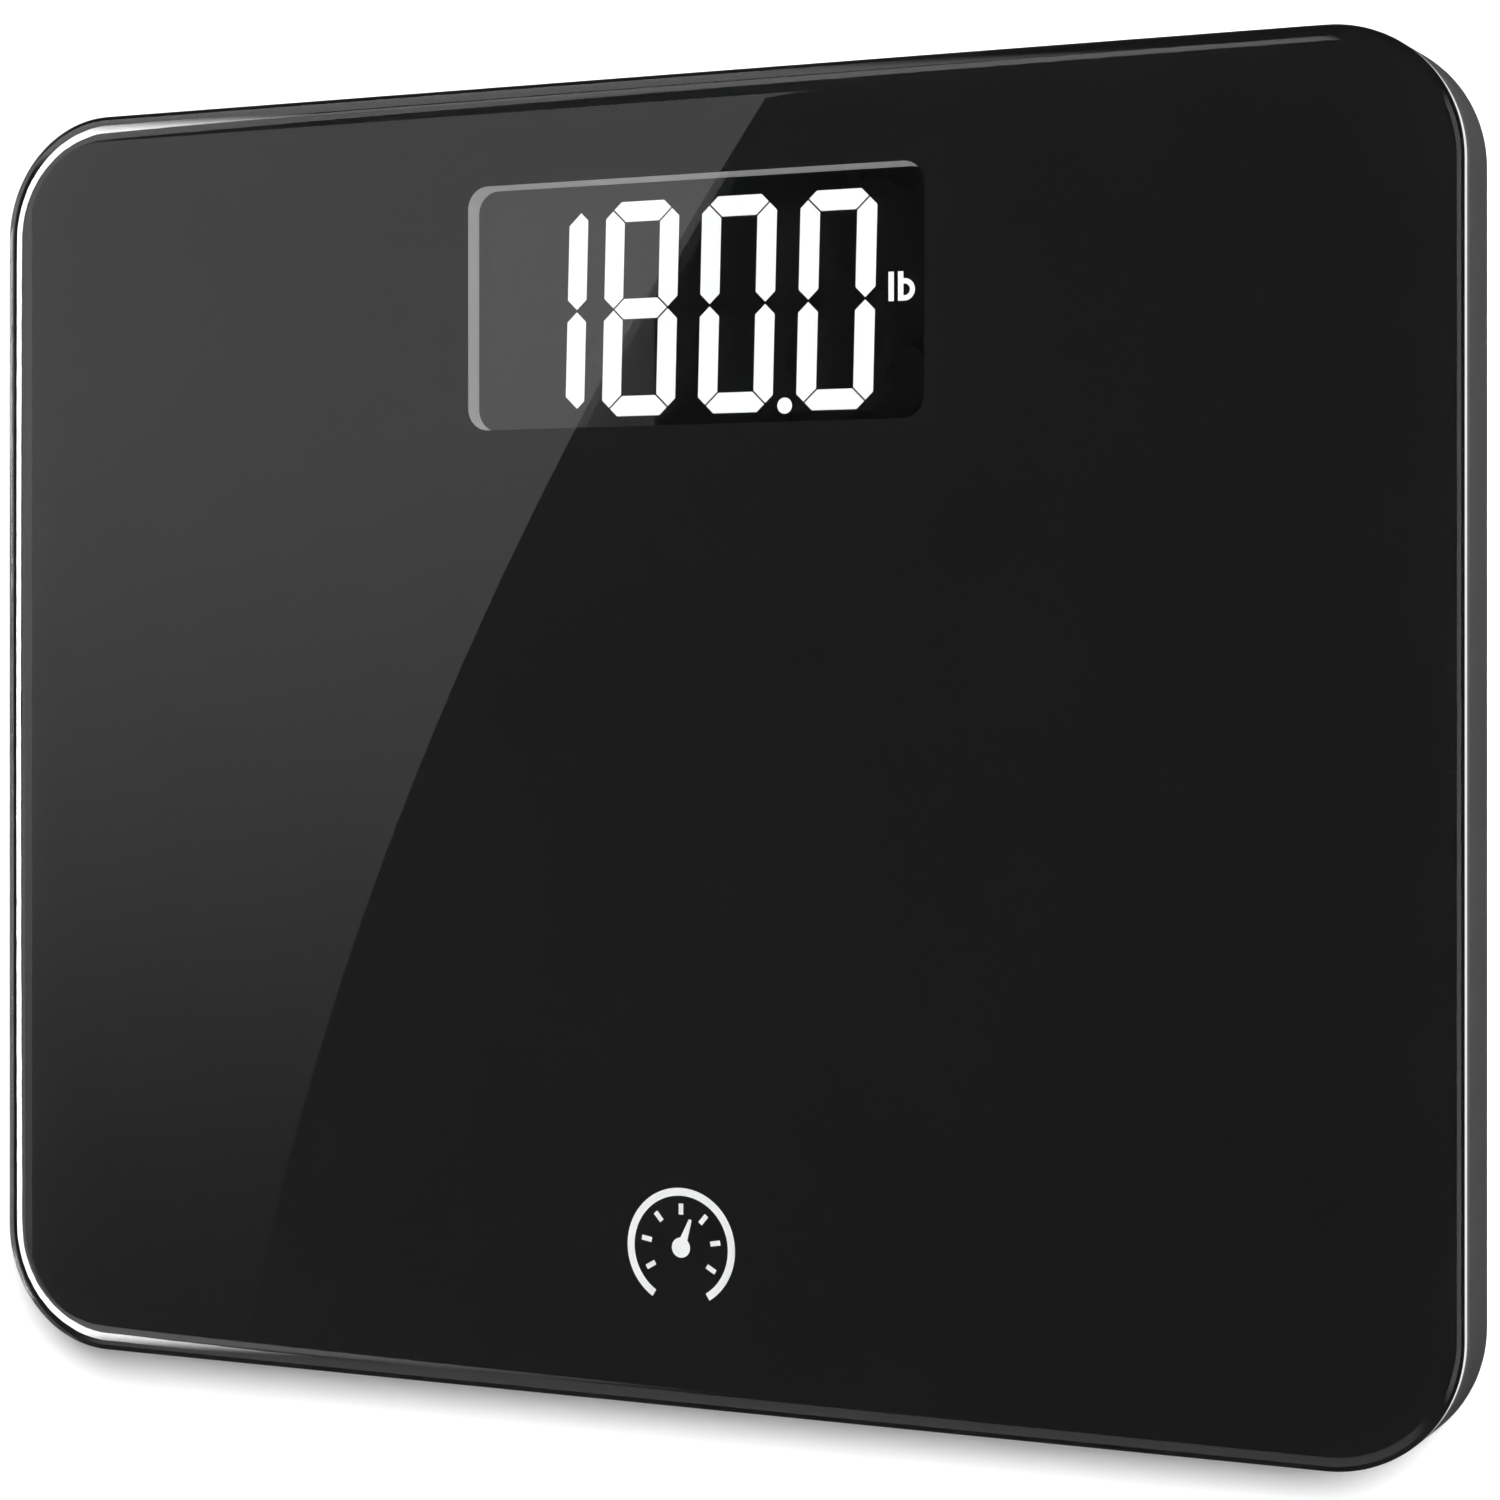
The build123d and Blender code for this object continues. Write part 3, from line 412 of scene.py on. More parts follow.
# ---------------------------------------------------------------- platform
def build_glass():
    """Plate with a rounded upper rim, a ground upright edge and a small arris under it."""
    bm = bmesh.new()
    round_width, round_height = 6.5, 3.2
    arris_width, arris_height = 0.7, 0.9
    upper = arc(0, GLASS_TOP - round_height, round_width, round_height, 90, 0, 18)
    lower = arc(0, GROUND_BAND[0], arris_width, arris_height, 0, -90, 6)
    profile = [(9.0, GLASS_TOP), (7.2, GLASS_TOP)]
    profile += [(round_width - x, z) for x, z in upper]
    profile += [(arris_width - x, z) for x, z in lower]
    profile += [(2.0, GLASS_BOTTOM)]
    closed(bm, platform_rings(bm, profile))
    plate = finish_mesh(bm, "glass_plate", "scale", GLASS, ["glass_platform"], 60)
    # Faces in the ground band get the edge material, whose glow on the right-hand side is a painted
    # highlight.
    plate.data.materials.append(GROUND_EDGE_PAINTED_HIGHLIGHT)
    for face in plate.data.polygons:
        upright = abs(face.normal.z) < 0.35
        if upright and GROUND_BAND[0] * MM < face.center.z < GROUND_BAND[1] * MM:
            face.material_index = 1


def build_print():
    """Ink behind the glass, with the display's window left open."""
    bm = bmesh.new()
    width, depth, radius = PLATFORM
    margin, steps = 1.4, 20
    outer = rounded_loop(width - 2 * margin, depth - 2 * margin, radius - margin, steps)
    inner = rounded_loop(*WINDOW, steps, DISPLAY[1], DISPLAY[0])
    corners = ((outer, INK_BOTTOM), (outer, INK_TOP), (inner, INK_TOP), (inner, INK_BOTTOM))
    loops = [ring(bm, loop, z) for loop, z in corners]
    loft(bm, loops + [loops[0]])
    finish_mesh(bm, "ink_layer", "scale", INK, ["back_print"], 30)


def build_mark():
    """Plain dial: an arc, ticks and a needle, just above the ink."""
    bm = bmesh.new()
    low, high = 21.065, 21.085
    cx, cy = MARK_CENTER
    outer, inner, half_angle = MARK_RADIUS, MARK_RADIUS - 1.7, 148.0
    count = 72
    rows = []
    for radius, z in ((inner, low), (outer, low), (outer, high), (inner, high)):
        row = []
        for i in range(count + 1):
            angle = math.radians(90 - half_angle + 2 * half_angle * i / count)
            x, y = cx + radius * math.cos(angle), cy + radius * math.sin(angle)
            row.append(bm.verts.new((x * MM, y * MM, z * MM)))
        rows.append(row)
    for a, b in zip(rows, rows[1:] + rows[:1]):
        for i in range(count):
            bm.faces.new((a[i], a[i + 1], b[i + 1], b[i]))
    for end in (0, -1):
        bm.faces.new([row[end] for row in rows])
    tick = [(-0.55, 7.2), (0.55, 7.2), (0.55, 9.6), (-0.55, 9.6)]
    needle = [(-1.3, -1.6), (1.3, -1.6), (0.35, 6.6), (-0.35, 6.6)]
    hub = circle_loop(0, 0, 2.2, 32)
    hub_lift = 0.001  # keeps the hub's faces off the needle's
    shapes = [(degrees, tick, 0.0) for degrees in range(-120, 121, 40)]
    shapes += [(-20, needle, 0.0), (0, hub, hub_lift)]
    for degrees, outline, lift in shapes:
        turn = Matrix.Rotation(math.radians(degrees), 2)
        points = [turn @ Vector(p) for p in outline]
        loop = [(cx + p.x, cy + p.y) for p in points]
        closed(bm, [ring(bm, loop, low - lift), ring(bm, loop, high + lift)])
    finish_mesh(bm, "printed_dial", "scale", MARK_INK_PAINTED_GLOW, ["dial_mark"], 30)


# ---------------------------------------------------------------- tray
def holder_bosses(side, end):
    """Middles of the two screws beside a foot."""
    x, y = side * FOOT[0], end * FOOT[1]
    return [(x - side * 28.0, y + end * 12.0), (x + side * 12.0, y - end * 28.0)]


def build_tray():
    bm = bmesh.new()
    low, floor = TRAY_BOTTOM, TRAY_FLOOR
    outside = [(9.0, low), (2.2, low)]
    outside += [(1.2 - x, z) for x, z in arc(0, low + 1.2, 1.2, 1.2, -90, 0, 8)]
    outside += [(0.0, 12.0), (0.0, 19.75)]
    outside += [(0.6 - x, z) for x, z in arc(0, 19.75, 0.6, 0.6, 0, 90, 5)]
    outside += [(1.2, 20.35), (7.7, 20.35), (8.0, 20.05), (8.0, 18.35), (2.2, 18.35), (2.2, 8.0)]
    outside += [(4.2, floor), (9.0, floor)]
    shell = loft(bm, platform_rings(bm, outside, 24))
    lower, upper = [shell[0]], [shell[-1]]

    def through(rings):
        """A feature that joins the underside to the inside floor."""
        loft(bm, rings)
        lower.append(rings[0])
        upper.append(rings[-1])

    for side, end in CORNERS.values():
        x, y = side * FOOT[0], end * FOOT[1]
        profile = [(23.2, low), (22.6, low)]
        profile += [(22.6 - a, b) for a, b in arc(0, low + 0.6, 0.6, 0.6, -90, 0, 4)][1:]
        profile += [(22.0, 6.1), (21.6, 6.5), (15.0, 6.5), (14.5, 7.0), (14.5, 10.6), (14.9, 11.0)]
        profile += [(16.6, 11.0), (17.0, 10.6), (17.0, 8.5), (23.8, 8.5), (24.2, 8.1)]
        profile += [(24.2, floor), (25.0, floor)]
        through(lathe_rings(bm, x, y, profile, 96))
        for bx, by in holder_bosses(side, end):
            profile = [(4.0, low), (3.5, low), (3.2, 4.12), (3.1, 4.4), (3.1, 6.2), (1.6, 6.2)]
            profile += [(1.6, 8.0), (4.5, 8.0), (4.5, floor), (5.2, floor)]
            through(lathe_rings(bm, bx, by, profile, 40))
    button = [(10.6, low), (10.1, low), (9.7, 4.1), (9.4, 4.4), (9.0, 4.7), (8.4, 4.8), (6.3, 4.8)]
    button += [(6.0, 4.9), (5.9, 5.2), (5.9, floor), (6.8, floor)]
    through(lathe_rings(bm, *BUTTON_SPOT, button, 64))

    def bay_ring(half_x, y0, y1, radius, z):
        loop = rounded_loop(2 * half_x, y1 - y0, radius, 6, (y0 + y1) / 2)
        return ring(bm, loop, z)

    hinge_y, grip_y = BAY_Y - 19.4, BAY_Y + 23.4
    outer_x = 28.4
    inside = [
        bay_ring(outer_x + 1.2, hinge_y - 1.2, grip_y + 1.2, 3.1, low),
        bay_ring(outer_x + 0.5, hinge_y - 0.5, grip_y + 0.5, 2.4, low),
        bay_ring(outer_x + 0.15, hinge_y - 0.15, grip_y + 0.15, 2.05, low + 0.15),
        bay_ring(outer_x, hinge_y, grip_y, 1.9, low + 0.5),
        bay_ring(outer_x, hinge_y, grip_y, 1.9, 6.2),
        bay_ring(26.0, -7.25, 27.25, 1.0, 6.2),
        bay_ring(26.0, -7.25, 27.25, 1.0, 17.7),
    ]
    loft(bm, inside)
    lower.append(inside[0])
    bm.faces.new(inside[-1])
    over = [
        bay_ring(27.6, -8.85, 28.85, 1.5, 19.2),
        bay_ring(27.6, -8.85, 28.85, 1.5, 7.8),
        bay_ring(30.4, hinge_y - 2.0, grip_y + 2.0, 1.8, 7.8),
        bay_ring(30.4, hinge_y - 2.0, grip_y + 2.0, 1.8, floor),
        bay_ring(31.4, hinge_y - 3.0, grip_y + 3.0, 2.8, floor),
    ]
    loft(bm, over)
    upper.append(over[-1])
    bm.faces.new(over[0])
    label = [
        ring(bm, rounded_loop(71.0, 35.0, 2.5, 6, LABEL_Y), low),
        ring(bm, rounded_loop(70.2, 34.2, 2.1, 6, LABEL_Y), low),
        ring(bm, rounded_loop(70.0, 34.0, 2.0, 6, LABEL_Y), low + 0.1),
        ring(bm, rounded_loop(70.0, 34.0, 2.0, 6, LABEL_Y), low + 0.3),
    ]
    loft(bm, label)
    lower.append(label[0])
    bm.faces.new(label[-1])
    scoop = []
    for shrink, depth in ((-0.8, 0), (0, 0), (0.25, 0.12), (0.7, 0.5), (1.4, 0.85), (2.2, 1.05)):
        loop = rounded_loop(18.0 - 2 * shrink, 6.4 - 2 * shrink, 3.1 - shrink, 8, grip_y + 5.0)
        scoop.append(ring(bm, loop, low + depth))
    loft(bm, scoop)
    lower.append(scoop[0])
    bm.faces.new(scoop[-1])
    flat_with_holes(bm, lower)
    flat_with_holes(bm, upper)
    for sx in (-1, 1):
        for sy in (-1, 1):
            x, y = DISPLAY[0] + sx * 62.6, DISPLAY[1] + sy * 26.0
            closed(bm, lathe_rings(bm, x, y, [(3.0, 6.01), (3.0, 9.98)], 32))
    rib_heights, half_rib = (6.01, 10.5), 0.7
    add_box(bm, (-170.0, 170.0), (-66.7, -65.3), rib_heights)
    for x in (-70.0, 70.0):
        for along in ((-140.0, -66.75), (-65.25, 50.0)):
            add_box(bm, (x - half_rib, x + half_rib), along, rib_heights)
    tray = finish_mesh(bm, "tray_shell", "scale", TRAY, ["base_tray"], 35)
    tab_slots = [((x - 4.6, x + 4.6), (hinge_y - 3.0, -6.5), (6.02, 9.8)) for x in (-16.0, 16.0)]
    latch_slot = ((-6.0, 6.0), (28.9, grip_y - 0.01), (5.0, 7.9))
    cut_boxes(tray, tab_slots + [latch_slot], 35)


def build_tape():
    bm = bmesh.new()
    profile = [(1.8, 20.36), (1.7, 20.6), (1.8, 20.84), (8.3, 20.84), (8.3, 20.36)]
    rings = platform_rings(bm, profile, 20)
    loft(bm, rings + [rings[0]])
    finish_mesh(bm, "edge_tape", "scale", TAPE, ["perimeter_tape"], 40)


# ---------------------------------------------------------------- feet
def build_foot(name):
    """Rubber tread with two grooves, and the plastic cup that clips into the tray's collar."""
    side, end = CORNERS[name]
    x, y = side * FOOT[0], end * FOOT[1]
    body = f"foot_{name}"
    bm = bmesh.new()
    profile = [(0.01, 1.0), (5.4, 1.0), (5.8, 0.8), (6.0, 0.4), (6.3, 0.05), (6.8, 0.0), (11.2, 0.0)]
    profile += [(11.6, 0.12), (11.8, 0.5), (12.3, 0.6), (12.8, 0.5), (13.0, 0.12), (13.4, 0.0)]
    profile += [(17.4, 0.0)]
    profile += [(17.4 + a, b) for a, b in arc(0, 1.1, 1.1, 1.1, -90, 0, 6)][1:]
    profile += [(18.5, 2.5), (18.3, 2.75), (0.01, 2.75)]
    closed(bm, lathe_rings(bm, x, y, profile, 96))
    finish_mesh(bm, f"tread_{name}", body, RUBBER, [f"foot_pad_{name}"], 40)
    bm = bmesh.new()
    profile = [(0.01, 2.8), (18.6, 2.8), (18.6, 2.2), (18.9, 2.0), (19.9, 2.0), (20.35, 2.2), (20.5, 2.6)]
    profile += [(20.5, 4.5), (20.2, 4.9), (19.7, 5.0), (14.1, 5.0), (14.1, 11.35), (15.0, 11.35)]
    profile += [(15.3, 11.6), (14.4, 12.55), (12.3, 12.55), (12.3, 5.0), (4.5, 5.0), (4.5, 13.8)]
    profile += [(4.0, 14.1), (0.01, 14.1)]
    closed(bm, lathe_rings(bm, x, y, profile, 80))
    finish_mesh(bm, f"cup_{name}", body, CUP, [f"foot_cup_{name}"], 35)


# ---------------------------------------------------------------- display
def build_bezel():
    """Frame round the window, open from the panel to the print; its rear wall leans in."""
    bm = bmesh.new()
    low, top = PANEL_TOP + 0.01, 20.85
    width, depth, radius = WINDOW
    x, y = DISPLAY
    steps = [
        ring(bm, rounded_loop(117.2, 64.2, 6.6, 12, y, x), low),
        ring(bm, rounded_loop(118.0, 65.0, 7.0, 12, y, x), low + 0.4),
        ring(bm, rounded_loop(118.0, 65.0, 7.0, 12, y, x), top),
        ring(bm, rounded_loop(width + 0.3, depth + 0.3, radius + 0.15, 12, y, x), top),
        ring(bm, rounded_loop(width, depth, radius, 12, y, x), top - 0.15),
        ring(bm, rounded_loop(width, depth - BEZEL_SLOPE, radius, 12, y - BEZEL_SLOPE / 2, x), low),
    ]
    loft(bm, steps + [steps[0]])
    finish_mesh(bm, "window_bezel", "scale", BEZEL_PAINTED_LIGHT, ["display_bezel"], 35)


# ---------------------------------------------------------------- battery bay and button
def build_door():
    """Plate with finger grooves, the bowed latch at its grip and the two tabs that it hinges on."""
    bm = bmesh.new()
    hinge_y, grip_y = -9.0, 33.0
    half, half_grip = 28.0, 5.6
    profile = [(0.9, 4.0), (0.35, 4.0), (0.1, 4.1), (0.0, 4.35), (0.0, 5.6), (0.2, 5.8), (0.9, 5.8)]
    outline = []
    for inset, z in profile:
        width, depth, radius = 2 * (half - inset), grip_y - hinge_y - 2 * inset, 1.6 - inset
        outline.append(ring(bm, rounded_loop(width, depth, radius, 6, (hinge_y + grip_y) / 2), z))
    loft(bm, outline)
    lower = [outline[0]]
    for index in range(5):
        y = hinge_y + 10.5 + 3.0 * index
        groove = []
        for grow, z in ((0.35, 4.0), (0.12, 4.0), (0.0, 4.1), (-0.12, 4.5)):
            groove.append(ring(bm, rounded_loop(18.0 + 2 * grow, 1.0 + 2 * grow, 0.49 + grow, 6, y), z))
        loft(bm, groove)
        bm.faces.new(groove[-1])
        lower.append(groove[0])
    flat_with_holes(bm, lower)
    bm.faces.new(outline[-1])
    door = finish_mesh(bm, "door_plate", "battery_door", DOOR, ["battery_door"], 35)
    cut_boxes(door, [((-half_grip, half_grip), (grip_y - 2.2, grip_y + 1.0), (3.0, 7.0))], 35)
    bm = bmesh.new()
    latch = [
        (grip_y - 3.6, 5.7), (grip_y - 3.6, 9.3), (grip_y - 3.3, 9.85), (grip_y - 2.8, 10.0),
        (grip_y - 1.4, 10.0), (grip_y - 0.9, 9.85), (grip_y - 0.6, 9.3), (grip_y - 0.6, 7.5),
        (grip_y - 0.1, 7.1), (grip_y - 0.1, 6.7), (grip_y - 0.6, 6.4), (grip_y - 0.6, 4.7),
        (grip_y - 0.9, 4.4), (grip_y - 1.6, 4.4), (grip_y - 1.6, 8.7), (grip_y - 1.9, 9.0),
        (grip_y - 2.3, 9.0), (grip_y - 2.6, 8.7), (grip_y - 2.6, 5.7),
    ]
    prism(bm, latch, -5.0, 5.0)
    finish_mesh(bm, "door_latch", "battery_door", DOOR, (), 35, 0.18)
    bm = bmesh.new()
    hook = [
        (hinge_y + 0.3, 5.7), (hinge_y + 2.3, 5.7), (hinge_y + 2.3, 7.3), (hinge_y + 2.0, 7.6),
        (hinge_y - 2.1, 7.6), (hinge_y - 2.4, 7.3), (hinge_y - 2.4, 6.6), (hinge_y - 2.2, 6.4),
        (hinge_y + 0.3, 6.4),
    ]
    for x in (-16.0, 16.0):
        prism(bm, hook, x - 4.0, x + 4.0)
    finish_mesh(bm, "door_tabs", "battery_door", DOOR, (), 35, 0.15)


def build_button():
    bm = bmesh.new()
    profile = [(0.01, 4.55), (2.0, 4.52), (3.4, 4.42), (4.3, 4.28), (4.8, 4.2)]
    profile += [(4.9 + a, b) for a, b in arc(0, 4.8, 0.6, 0.6, -90, 0, 6)][1:]
    profile += [(5.5, 6.35), (7.1, 6.35), (7.1, 7.15), (0.01, 7.15)]
    closed(bm, lathe_rings(bm, *BUTTON_SPOT, profile, 64))
    finish_mesh(bm, "button_cap", "unit_button", BUTTON, ["unit_button"], 40)


def build_screws():
    """Eight pan heads with cross recesses and their shanks."""
    bm = bmesh.new()
    arm, wing = 1.75, 0.38
    cross = [(arm, wing), (wing, wing), (wing, arm), (-wing, arm), (-wing, wing), (-arm, wing)]
    cross += [(-arm, -wing), (-wing, -wing), (-wing, -arm), (wing, -arm), (wing, -wing), (arm, -wing)]
    head_low = 4.42
    profile = [(2.3, head_low), (2.5, 4.5), (2.72, 4.75), (2.8, 5.1), (2.8, 6.18), (1.25, 6.18)]
    profile += [(1.25, 13.6), (0.7, 14.2), (0.01, 14.2)]
    for side, end in CORNERS.values():
        for x, y in holder_bosses(side, end):
            rings = loft(bm, lathe_rings(bm, x, y, profile, 40))
            bm.faces.new(rings[-1])
            mouth = ring(bm, [(x + a, y + b) for a, b in cross], head_low)
            foot = ring(bm, [(x + 0.7 * a, y + 0.7 * b) for a, b in cross], 5.5)
            loft(bm, [mouth, foot])
            bm.faces.new(foot)
            flat_with_holes(bm, [rings[0], mouth])
    finish_mesh(bm, "tray_screw_set", "scale", STEEL, ["tray_screws"], 30)


def build_label():
    bm = bmesh.new()
    rings = []
    for shrink, z in ((0.3, 4.14), (0.05, 4.15), (0.0, 4.18), (0.0, 4.295)):
        loop = rounded_loop(69.0 - 2 * shrink, 33.0 - 2 * shrink, 1.6 - shrink, 6, LABEL_Y)
        rings.append(ring(bm, loop, z))
    closed(bm, rings)
    finish_mesh(bm, "blank_label", "scale", LABEL, ["rating_label"], 40)


def build_cell(index):
    """AAA cell lying along X, turned end for end from the one beside it."""
    facing = 1 if index % 2 == 0 else -1
    y = BAY_Y + (index - 1) * CELL_PITCH
    tip = 25.5
    profile = [(0.01, tip), (1.6, tip), (1.9, tip - 0.2), (1.9, tip - 0.75), (3.6, tip - 0.8)]
    profile += [(4.4, tip - 0.85)]
    profile += [(4.95, tip - 1.0), (5.2, tip - 1.3), (5.25, tip - 1.8), (5.25, tip - 43.6)]
    profile += [(5.1, tip - 44.1), (4.7, tip - 44.3), (4.2, tip - 44.3), (4.0, tip - 44.15)]
    profile += [(3.6, tip - 44.3), (0.01, tip - 44.5)]
    bm = bmesh.new()
    rings = []
    for radius, along in profile:
        x = facing * along * MM
        circle = circle_loop(0, 0, radius, 56)
        rings.append([bm.verts.new((x, (y + a) * MM, (CELL_HEIGHT + b) * MM)) for a, b in circle])
    closed(bm, rings)
    number = index + 1
    finish_mesh(bm, f"cell_{number}", "scale", JACKET, [f"battery_cell_{number}"], 35)


build_glass()
build_print()
build_mark()
build_tray()
build_tape()
for corner_name in CORNERS:
    build_foot(corner_name)
build_bezel()
build_door()
build_button()
build_screws()
build_label()
for cell_index in range(3):
    build_cell(cell_index)

paint(TAPE, "holder_pads")
paint(NYLON, "wire_clips")
paint(PANEL, "lcd_panel")
paint(LIT, "lcd_digits", "lcd_point", "lcd_unit_sign")
paint(WHITE_ABS, "lcd_frame", *[f"cell_holder_{c}" for c in CORNERS])
paint(ACRYLIC, "light_guide")
paint(LED, "backlight_leds")
paint(ZEBRA, "zebra_strip")
paint(BOARD, "main_board")
paint(EPOXY, "controller_chip", "amplifier_chip")
paint(CERAMIC, "small_components")
paint(STEEL, "board_screws", "switch_body")
paint(BUTTON, "switch_plunger")
paint(CONTACT, "battery_plates", "battery_springs")
paint(LEAD, "battery_wires", *[f"lead_wires_{c}" for c in CORNERS])
paint(PLATE_STEEL, *[f"load_cell_{c}" for c in CORNERS])
paint(SILICONE, *[f"strain_gauge_{c}" for c in CORNERS])


# ---------------------------------------------------------------- studio
def stage_mesh(name, verts, faces, material):
    mesh = bpy.data.meshes.new(name)
    mesh.from_pydata(verts, [], faces)
    mesh.materials.append(material)
    obj = bpy.data.objects.new(name, mesh)
    bpy.context.scene.collection.objects.link(obj)
    obj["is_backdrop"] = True
    return obj


def empty_material(name):
    material = bpy.data.materials.new(name)
    material.use_nodes = True
    material.node_tree.nodes.clear()
    return material, material.node_tree


def smooth_fade(tree, source, start, end, low=0.0, high=1.0):
    fade = range_node(tree, source, low, high)
    fade.interpolation_type = "SMOOTHSTEP"
    fade.inputs["From Min"].default_value = start
    fade.inputs["From Max"].default_value = end
    return fade


def clear_to_glow(tree, fade, strength):
    """Finishes a material that is clear where the fade is 0 and glows where it is 1."""
    clear = tree.nodes.new("ShaderNodeBsdfTransparent")
    glow = tree.nodes.new("ShaderNodeEmission")
    glow.inputs["Strength"].default_value = strength
    mix = tree.nodes.new("ShaderNodeMixShader")
    out = tree.nodes.new("ShaderNodeOutputMaterial")
    tree.links.new(fade.outputs["Result"], mix.inputs["Fac"])
    tree.links.new(clear.outputs["BSDF"], mix.inputs[1])
    tree.links.new(glow.outputs["Emission"], mix.inputs[2])
    tree.links.new(mix.outputs["Shader"], out.inputs["Surface"])


def card_material(name, strength, low, start, end, aim):
    """Card that brightens along a direction: from low times its strength, or from clear if low is 0."""
    material, tree = empty_material(name)
    along = facing_node(tree, "Object", aim)
    if not low:
        clear_to_glow(tree, smooth_fade(tree, along.outputs["Value"], start, end), strength)
        return material
    fade = smooth_fade(tree, along.outputs["Value"], start, end, strength * low, strength)
    glow = tree.nodes.new("ShaderNodeEmission")
    out = tree.nodes.new("ShaderNodeOutputMaterial")
    tree.links.new(fade.outputs["Result"], glow.inputs["Strength"])
    tree.links.new(glow.outputs["Emission"], out.inputs["Surface"])
    return material


def area_light(name, location, size, power):
    """Rectangular light aimed at the origin; reflections come from the cards instead."""
    data = bpy.data.lights.new(name, "AREA")
    data.shape = "RECTANGLE"
    data.size, data.size_y = size
    data.energy = power
    obj = bpy.data.objects.new(name, data)
    obj.location = location
    obj.rotation_euler = (Vector((0.0, 0.0, 0.0)) - Vector(location)).to_track_quat("-Z", "Y").to_euler()
    obj.visible_glossy = False
    bpy.context.scene.collection.objects.link(obj)
    return obj


def rim_card(name, bearing, reach, low, high, strength, radius=2.5, rim=0.0):
    """Curved strip seen only in reflections. Bearing, reach (half its width), low and high are degrees.

    Low and high are elevations seen from the glass top at the distance rim from the middle.
    """
    count = 24
    full_share = 0.7  # part of the reach at full strength, before the ends fade out
    middle = math.radians(bearing)
    aim = Vector((math.cos(middle), math.sin(middle), 0))
    verts, faces = [], []
    for i in range(count + 1):
        angle = math.radians(bearing + reach * (2 * i / count - 1))
        x, y = radius * math.cos(angle), radius * math.sin(angle)
        for lift in (low, high):
            verts.append((x, y, GLASS_TOP * MM + (radius - rim) * math.tan(math.radians(lift))))
    for i in range(count):
        faces.append((2 * i, 2 * i + 2, 2 * i + 3, 2 * i + 1))
    dim = radius * math.cos(math.radians(reach))
    full = radius * math.cos(math.radians(full_share * reach))
    material = card_material(name, strength, 0.0, dim, full, aim)
    card = stage_mesh(name, verts, faces, material)
    hide_card(card)


def hide_card(card):
    """Leaves a card visible only in reflections."""
    card.visible_camera = False
    card.visible_diffuse = False
    card.visible_shadow = False


def floor_flag(strength):
    """Grey card just above the floor, so that the rims don't mirror a white floor."""
    half, height = 1.4, 0.0004
    verts = [(-half, -half, height), (half, -half, height), (half, half, height), (-half, half, height)]
    material = card_material("floor_flag", strength, 0.95, -half, half, (0, 1, 0))
    hide_card(stage_mesh("floor_flag", verts, [(0, 1, 2, 3)], material))


def build_backdrop():
    """White surround, seen by the camera only: it takes over from the lit floor further out."""
    radius, floor, ceiling, count = 12.0, 0.0008, 14.0, 48
    fade_start, fade_end, white = 0.45, 1.1, 1.05
    material, tree = empty_material("backdrop_white")
    coords = tree.nodes.new("ShaderNodeTexCoord")
    reach = tree.nodes.new("ShaderNodeVectorMath")
    reach.operation = "LENGTH"
    tree.links.new(coords.outputs["Object"], reach.inputs[0])
    clear_to_glow(tree, smooth_fade(tree, reach.outputs["Value"], fade_start, fade_end), white)
    foot = circle_loop(0.0, 0.0, radius, count)
    verts = [(x, y, floor) for x, y in foot] + [(x, y, ceiling) for x, y in foot]
    faces = [tuple(range(count)), tuple(range(2 * count - 1, count - 1, -1))]
    faces += [(i, (i + 1) % count, count + (i + 1) % count, count + i) for i in range(count)]
    backdrop = stage_mesh("backdrop", verts, faces, material)
    backdrop.visible_diffuse = False
    backdrop.visible_glossy = False
    backdrop.visible_transmission = False
    backdrop.visible_shadow = False


def build_floor():
    material = surface("studio_floor", (0.92, 0.92, 0.92), rough=0.9, specular=0.0, spread=0.004)
    half = 3.0
    verts = [(-half, -half, 0), (half, -half, 0), (half, half, 0), (-half, half, 0)]
    stage_mesh("studio_floor", verts, [(0, 1, 2, 3)], material)


CAMERA_SPOT = Vector((0.3443, 0.0198, 0.7203))
YAW = math.radians(25.0)


def build_camera():
    """Level camera matched to the photograph, turned by YAW about Y; the shift keeps uprights upright."""
    data = bpy.data.cameras.new("camera")
    data.sensor_width = 36.0
    data.lens = 85.56
    data.shift_x = 0.0
    data.shift_y = -0.0673
    data.clip_start = 0.01
    obj = bpy.data.objects.new("camera", data)
    right = Vector((math.cos(YAW), 0, -math.sin(YAW)))
    back = Vector((math.sin(YAW), 0, math.cos(YAW)))
    up = Vector((0, 1, 0))
    pose = Matrix((right, up, back)).transposed().to_4x4()
    obj.matrix_world = Matrix.Translation(CAMERA_SPOT) @ pose
    bpy.context.scene.collection.objects.link(obj)
    bpy.context.scene.camera = obj


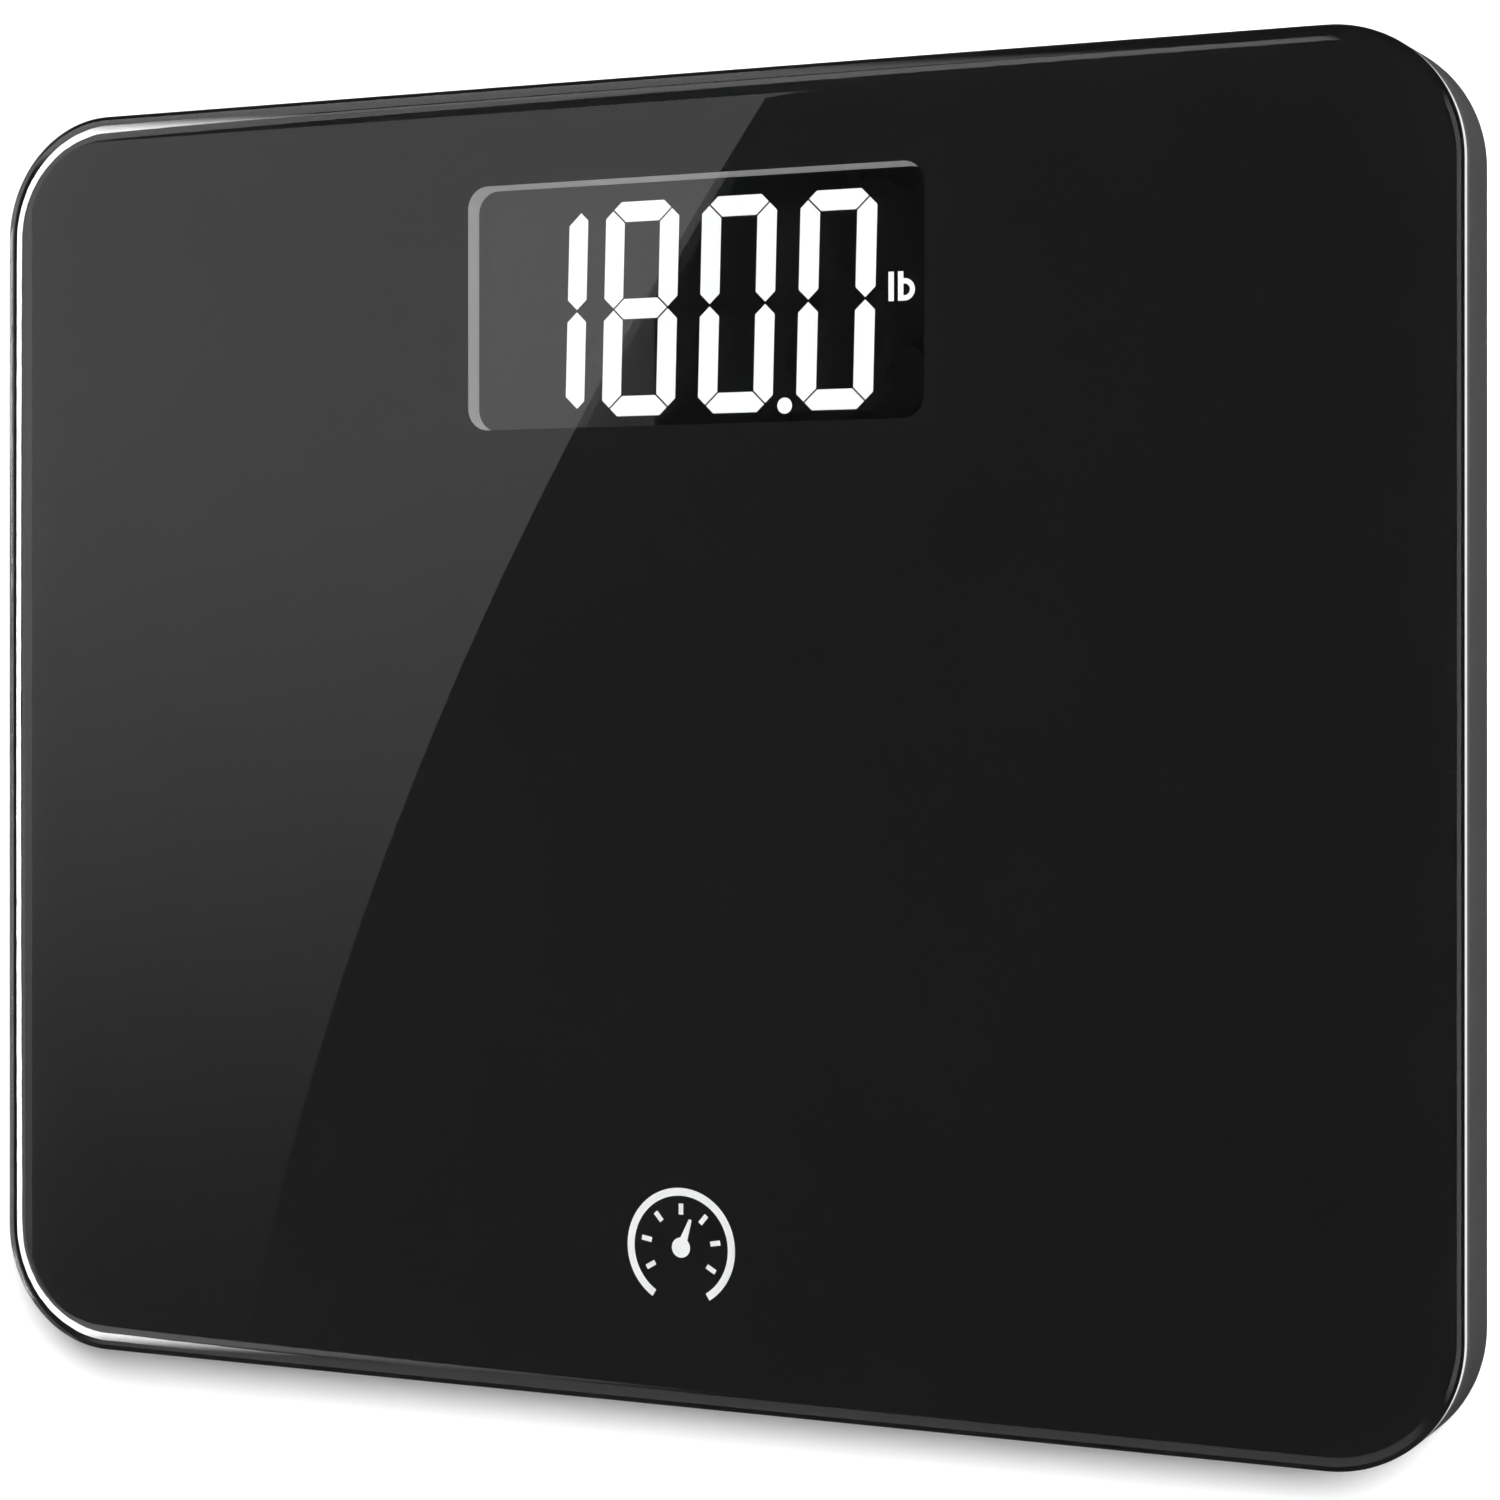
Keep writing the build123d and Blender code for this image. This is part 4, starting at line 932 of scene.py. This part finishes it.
def build_reflection_card():
    """Card above the left side whose curved edge shows in the glass."""
    height = 0.60
    mirror_depth = CAMERA_SPOT.z - GLASS_TOP * MM
    spread = (mirror_depth + height) / mirror_depth

    def lift(x, y):
        """Point of the card that a point of the glass reflects."""
        return (
            CAMERA_SPOT.x + (x * MM - CAMERA_SPOT.x) * spread,
            CAMERA_SPOT.y + (y * MM - CAMERA_SPOT.y) * spread,
            GLASS_TOP * MM + height,
        )

    def curved_edge(y):
        return -57.75 + 0.4734 * y + 0.000906 * y * y

    def band_edge(_):
        return band_x

    band_x, outer_x = -166.6, -186.0
    first_y, length, bright_y, count = -150.0, 305.0, 90.0, 40
    low_y = lift(0, first_y)[1]
    high_y = lift(0, bright_y)[1]
    for name, inner, outer, strength, low in (
        ("reflection_card", curved_edge, band_x, 1.03, 0.05),
        ("edge_band_card", band_edge, outer_x, 1.75, 0.4),
    ):
        verts, faces = [], []
        for i in range(count + 1):
            y = first_y + length * i / count
            verts += [lift(inner(y), y), lift(outer, y)]
        for i in range(count):
            faces.append((2 * i, 2 * i + 1, 2 * i + 3, 2 * i + 2))
        material = card_material(name, strength, low, low_y, high_y, (0, 1, 0))
        hide_card(stage_mesh(name, verts, faces, material))


build_floor()
build_backdrop()
build_camera()
build_reflection_card()
rim_card("rim_left", 180.0, 52.0, 27.0, 42.0, 25.0, radius=0.45, rim=0.175)
rim_card("rim_left_soft", 180.0, 54.0, 42.0, 50.0, 1.7)
rim_card("rim_rear_low", 132.0, 24.0, 4.0, 36.0, 1.7, radius=2.7)
rim_card("rim_rear_soft", 128.0, 26.0, 38.0, 50.0, 2.2, radius=2.7)
rim_card("rim_right", 0.0, 45.0, 1.0, 30.0, 1.3)
rim_card("rim_front", 262.0, 42.0, 12.0, 44.0, 0.7)
floor_flag(0.05)
area_light("key_top", (1.05, 0.75, 2.0), (1.3, 0.8), 98.0)
area_light("fill_right", (1.6, 0.0, 1.5), (1.2, 2.2), 9.0)
area_light("fill_left", (-1.8, 0.0, 1.4), (1.2, 2.2), 4.0)
area_light("fill_front", (0.0, -1.6, 1.6), (2.2, 1.0), 1.5)

world = bpy.data.worlds.new("studio")
bpy.context.scene.world = world
world.use_nodes = True
world.node_tree.nodes["Background"].inputs["Color"].default_value = (1, 1, 1, 1)
world.node_tree.nodes["Background"].inputs["Strength"].default_value = 0.03
bpy.context.scene.view_settings.view_transform = "Standard"
bpy.context.scene.view_settings.look = "None"


def as_lists(value):
    if isinstance(value, (int, float)):
        return float(value)
    return [as_lists(v) for v in value]


{"cad": as_lists(cad_bounds), "made": as_lists(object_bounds())}
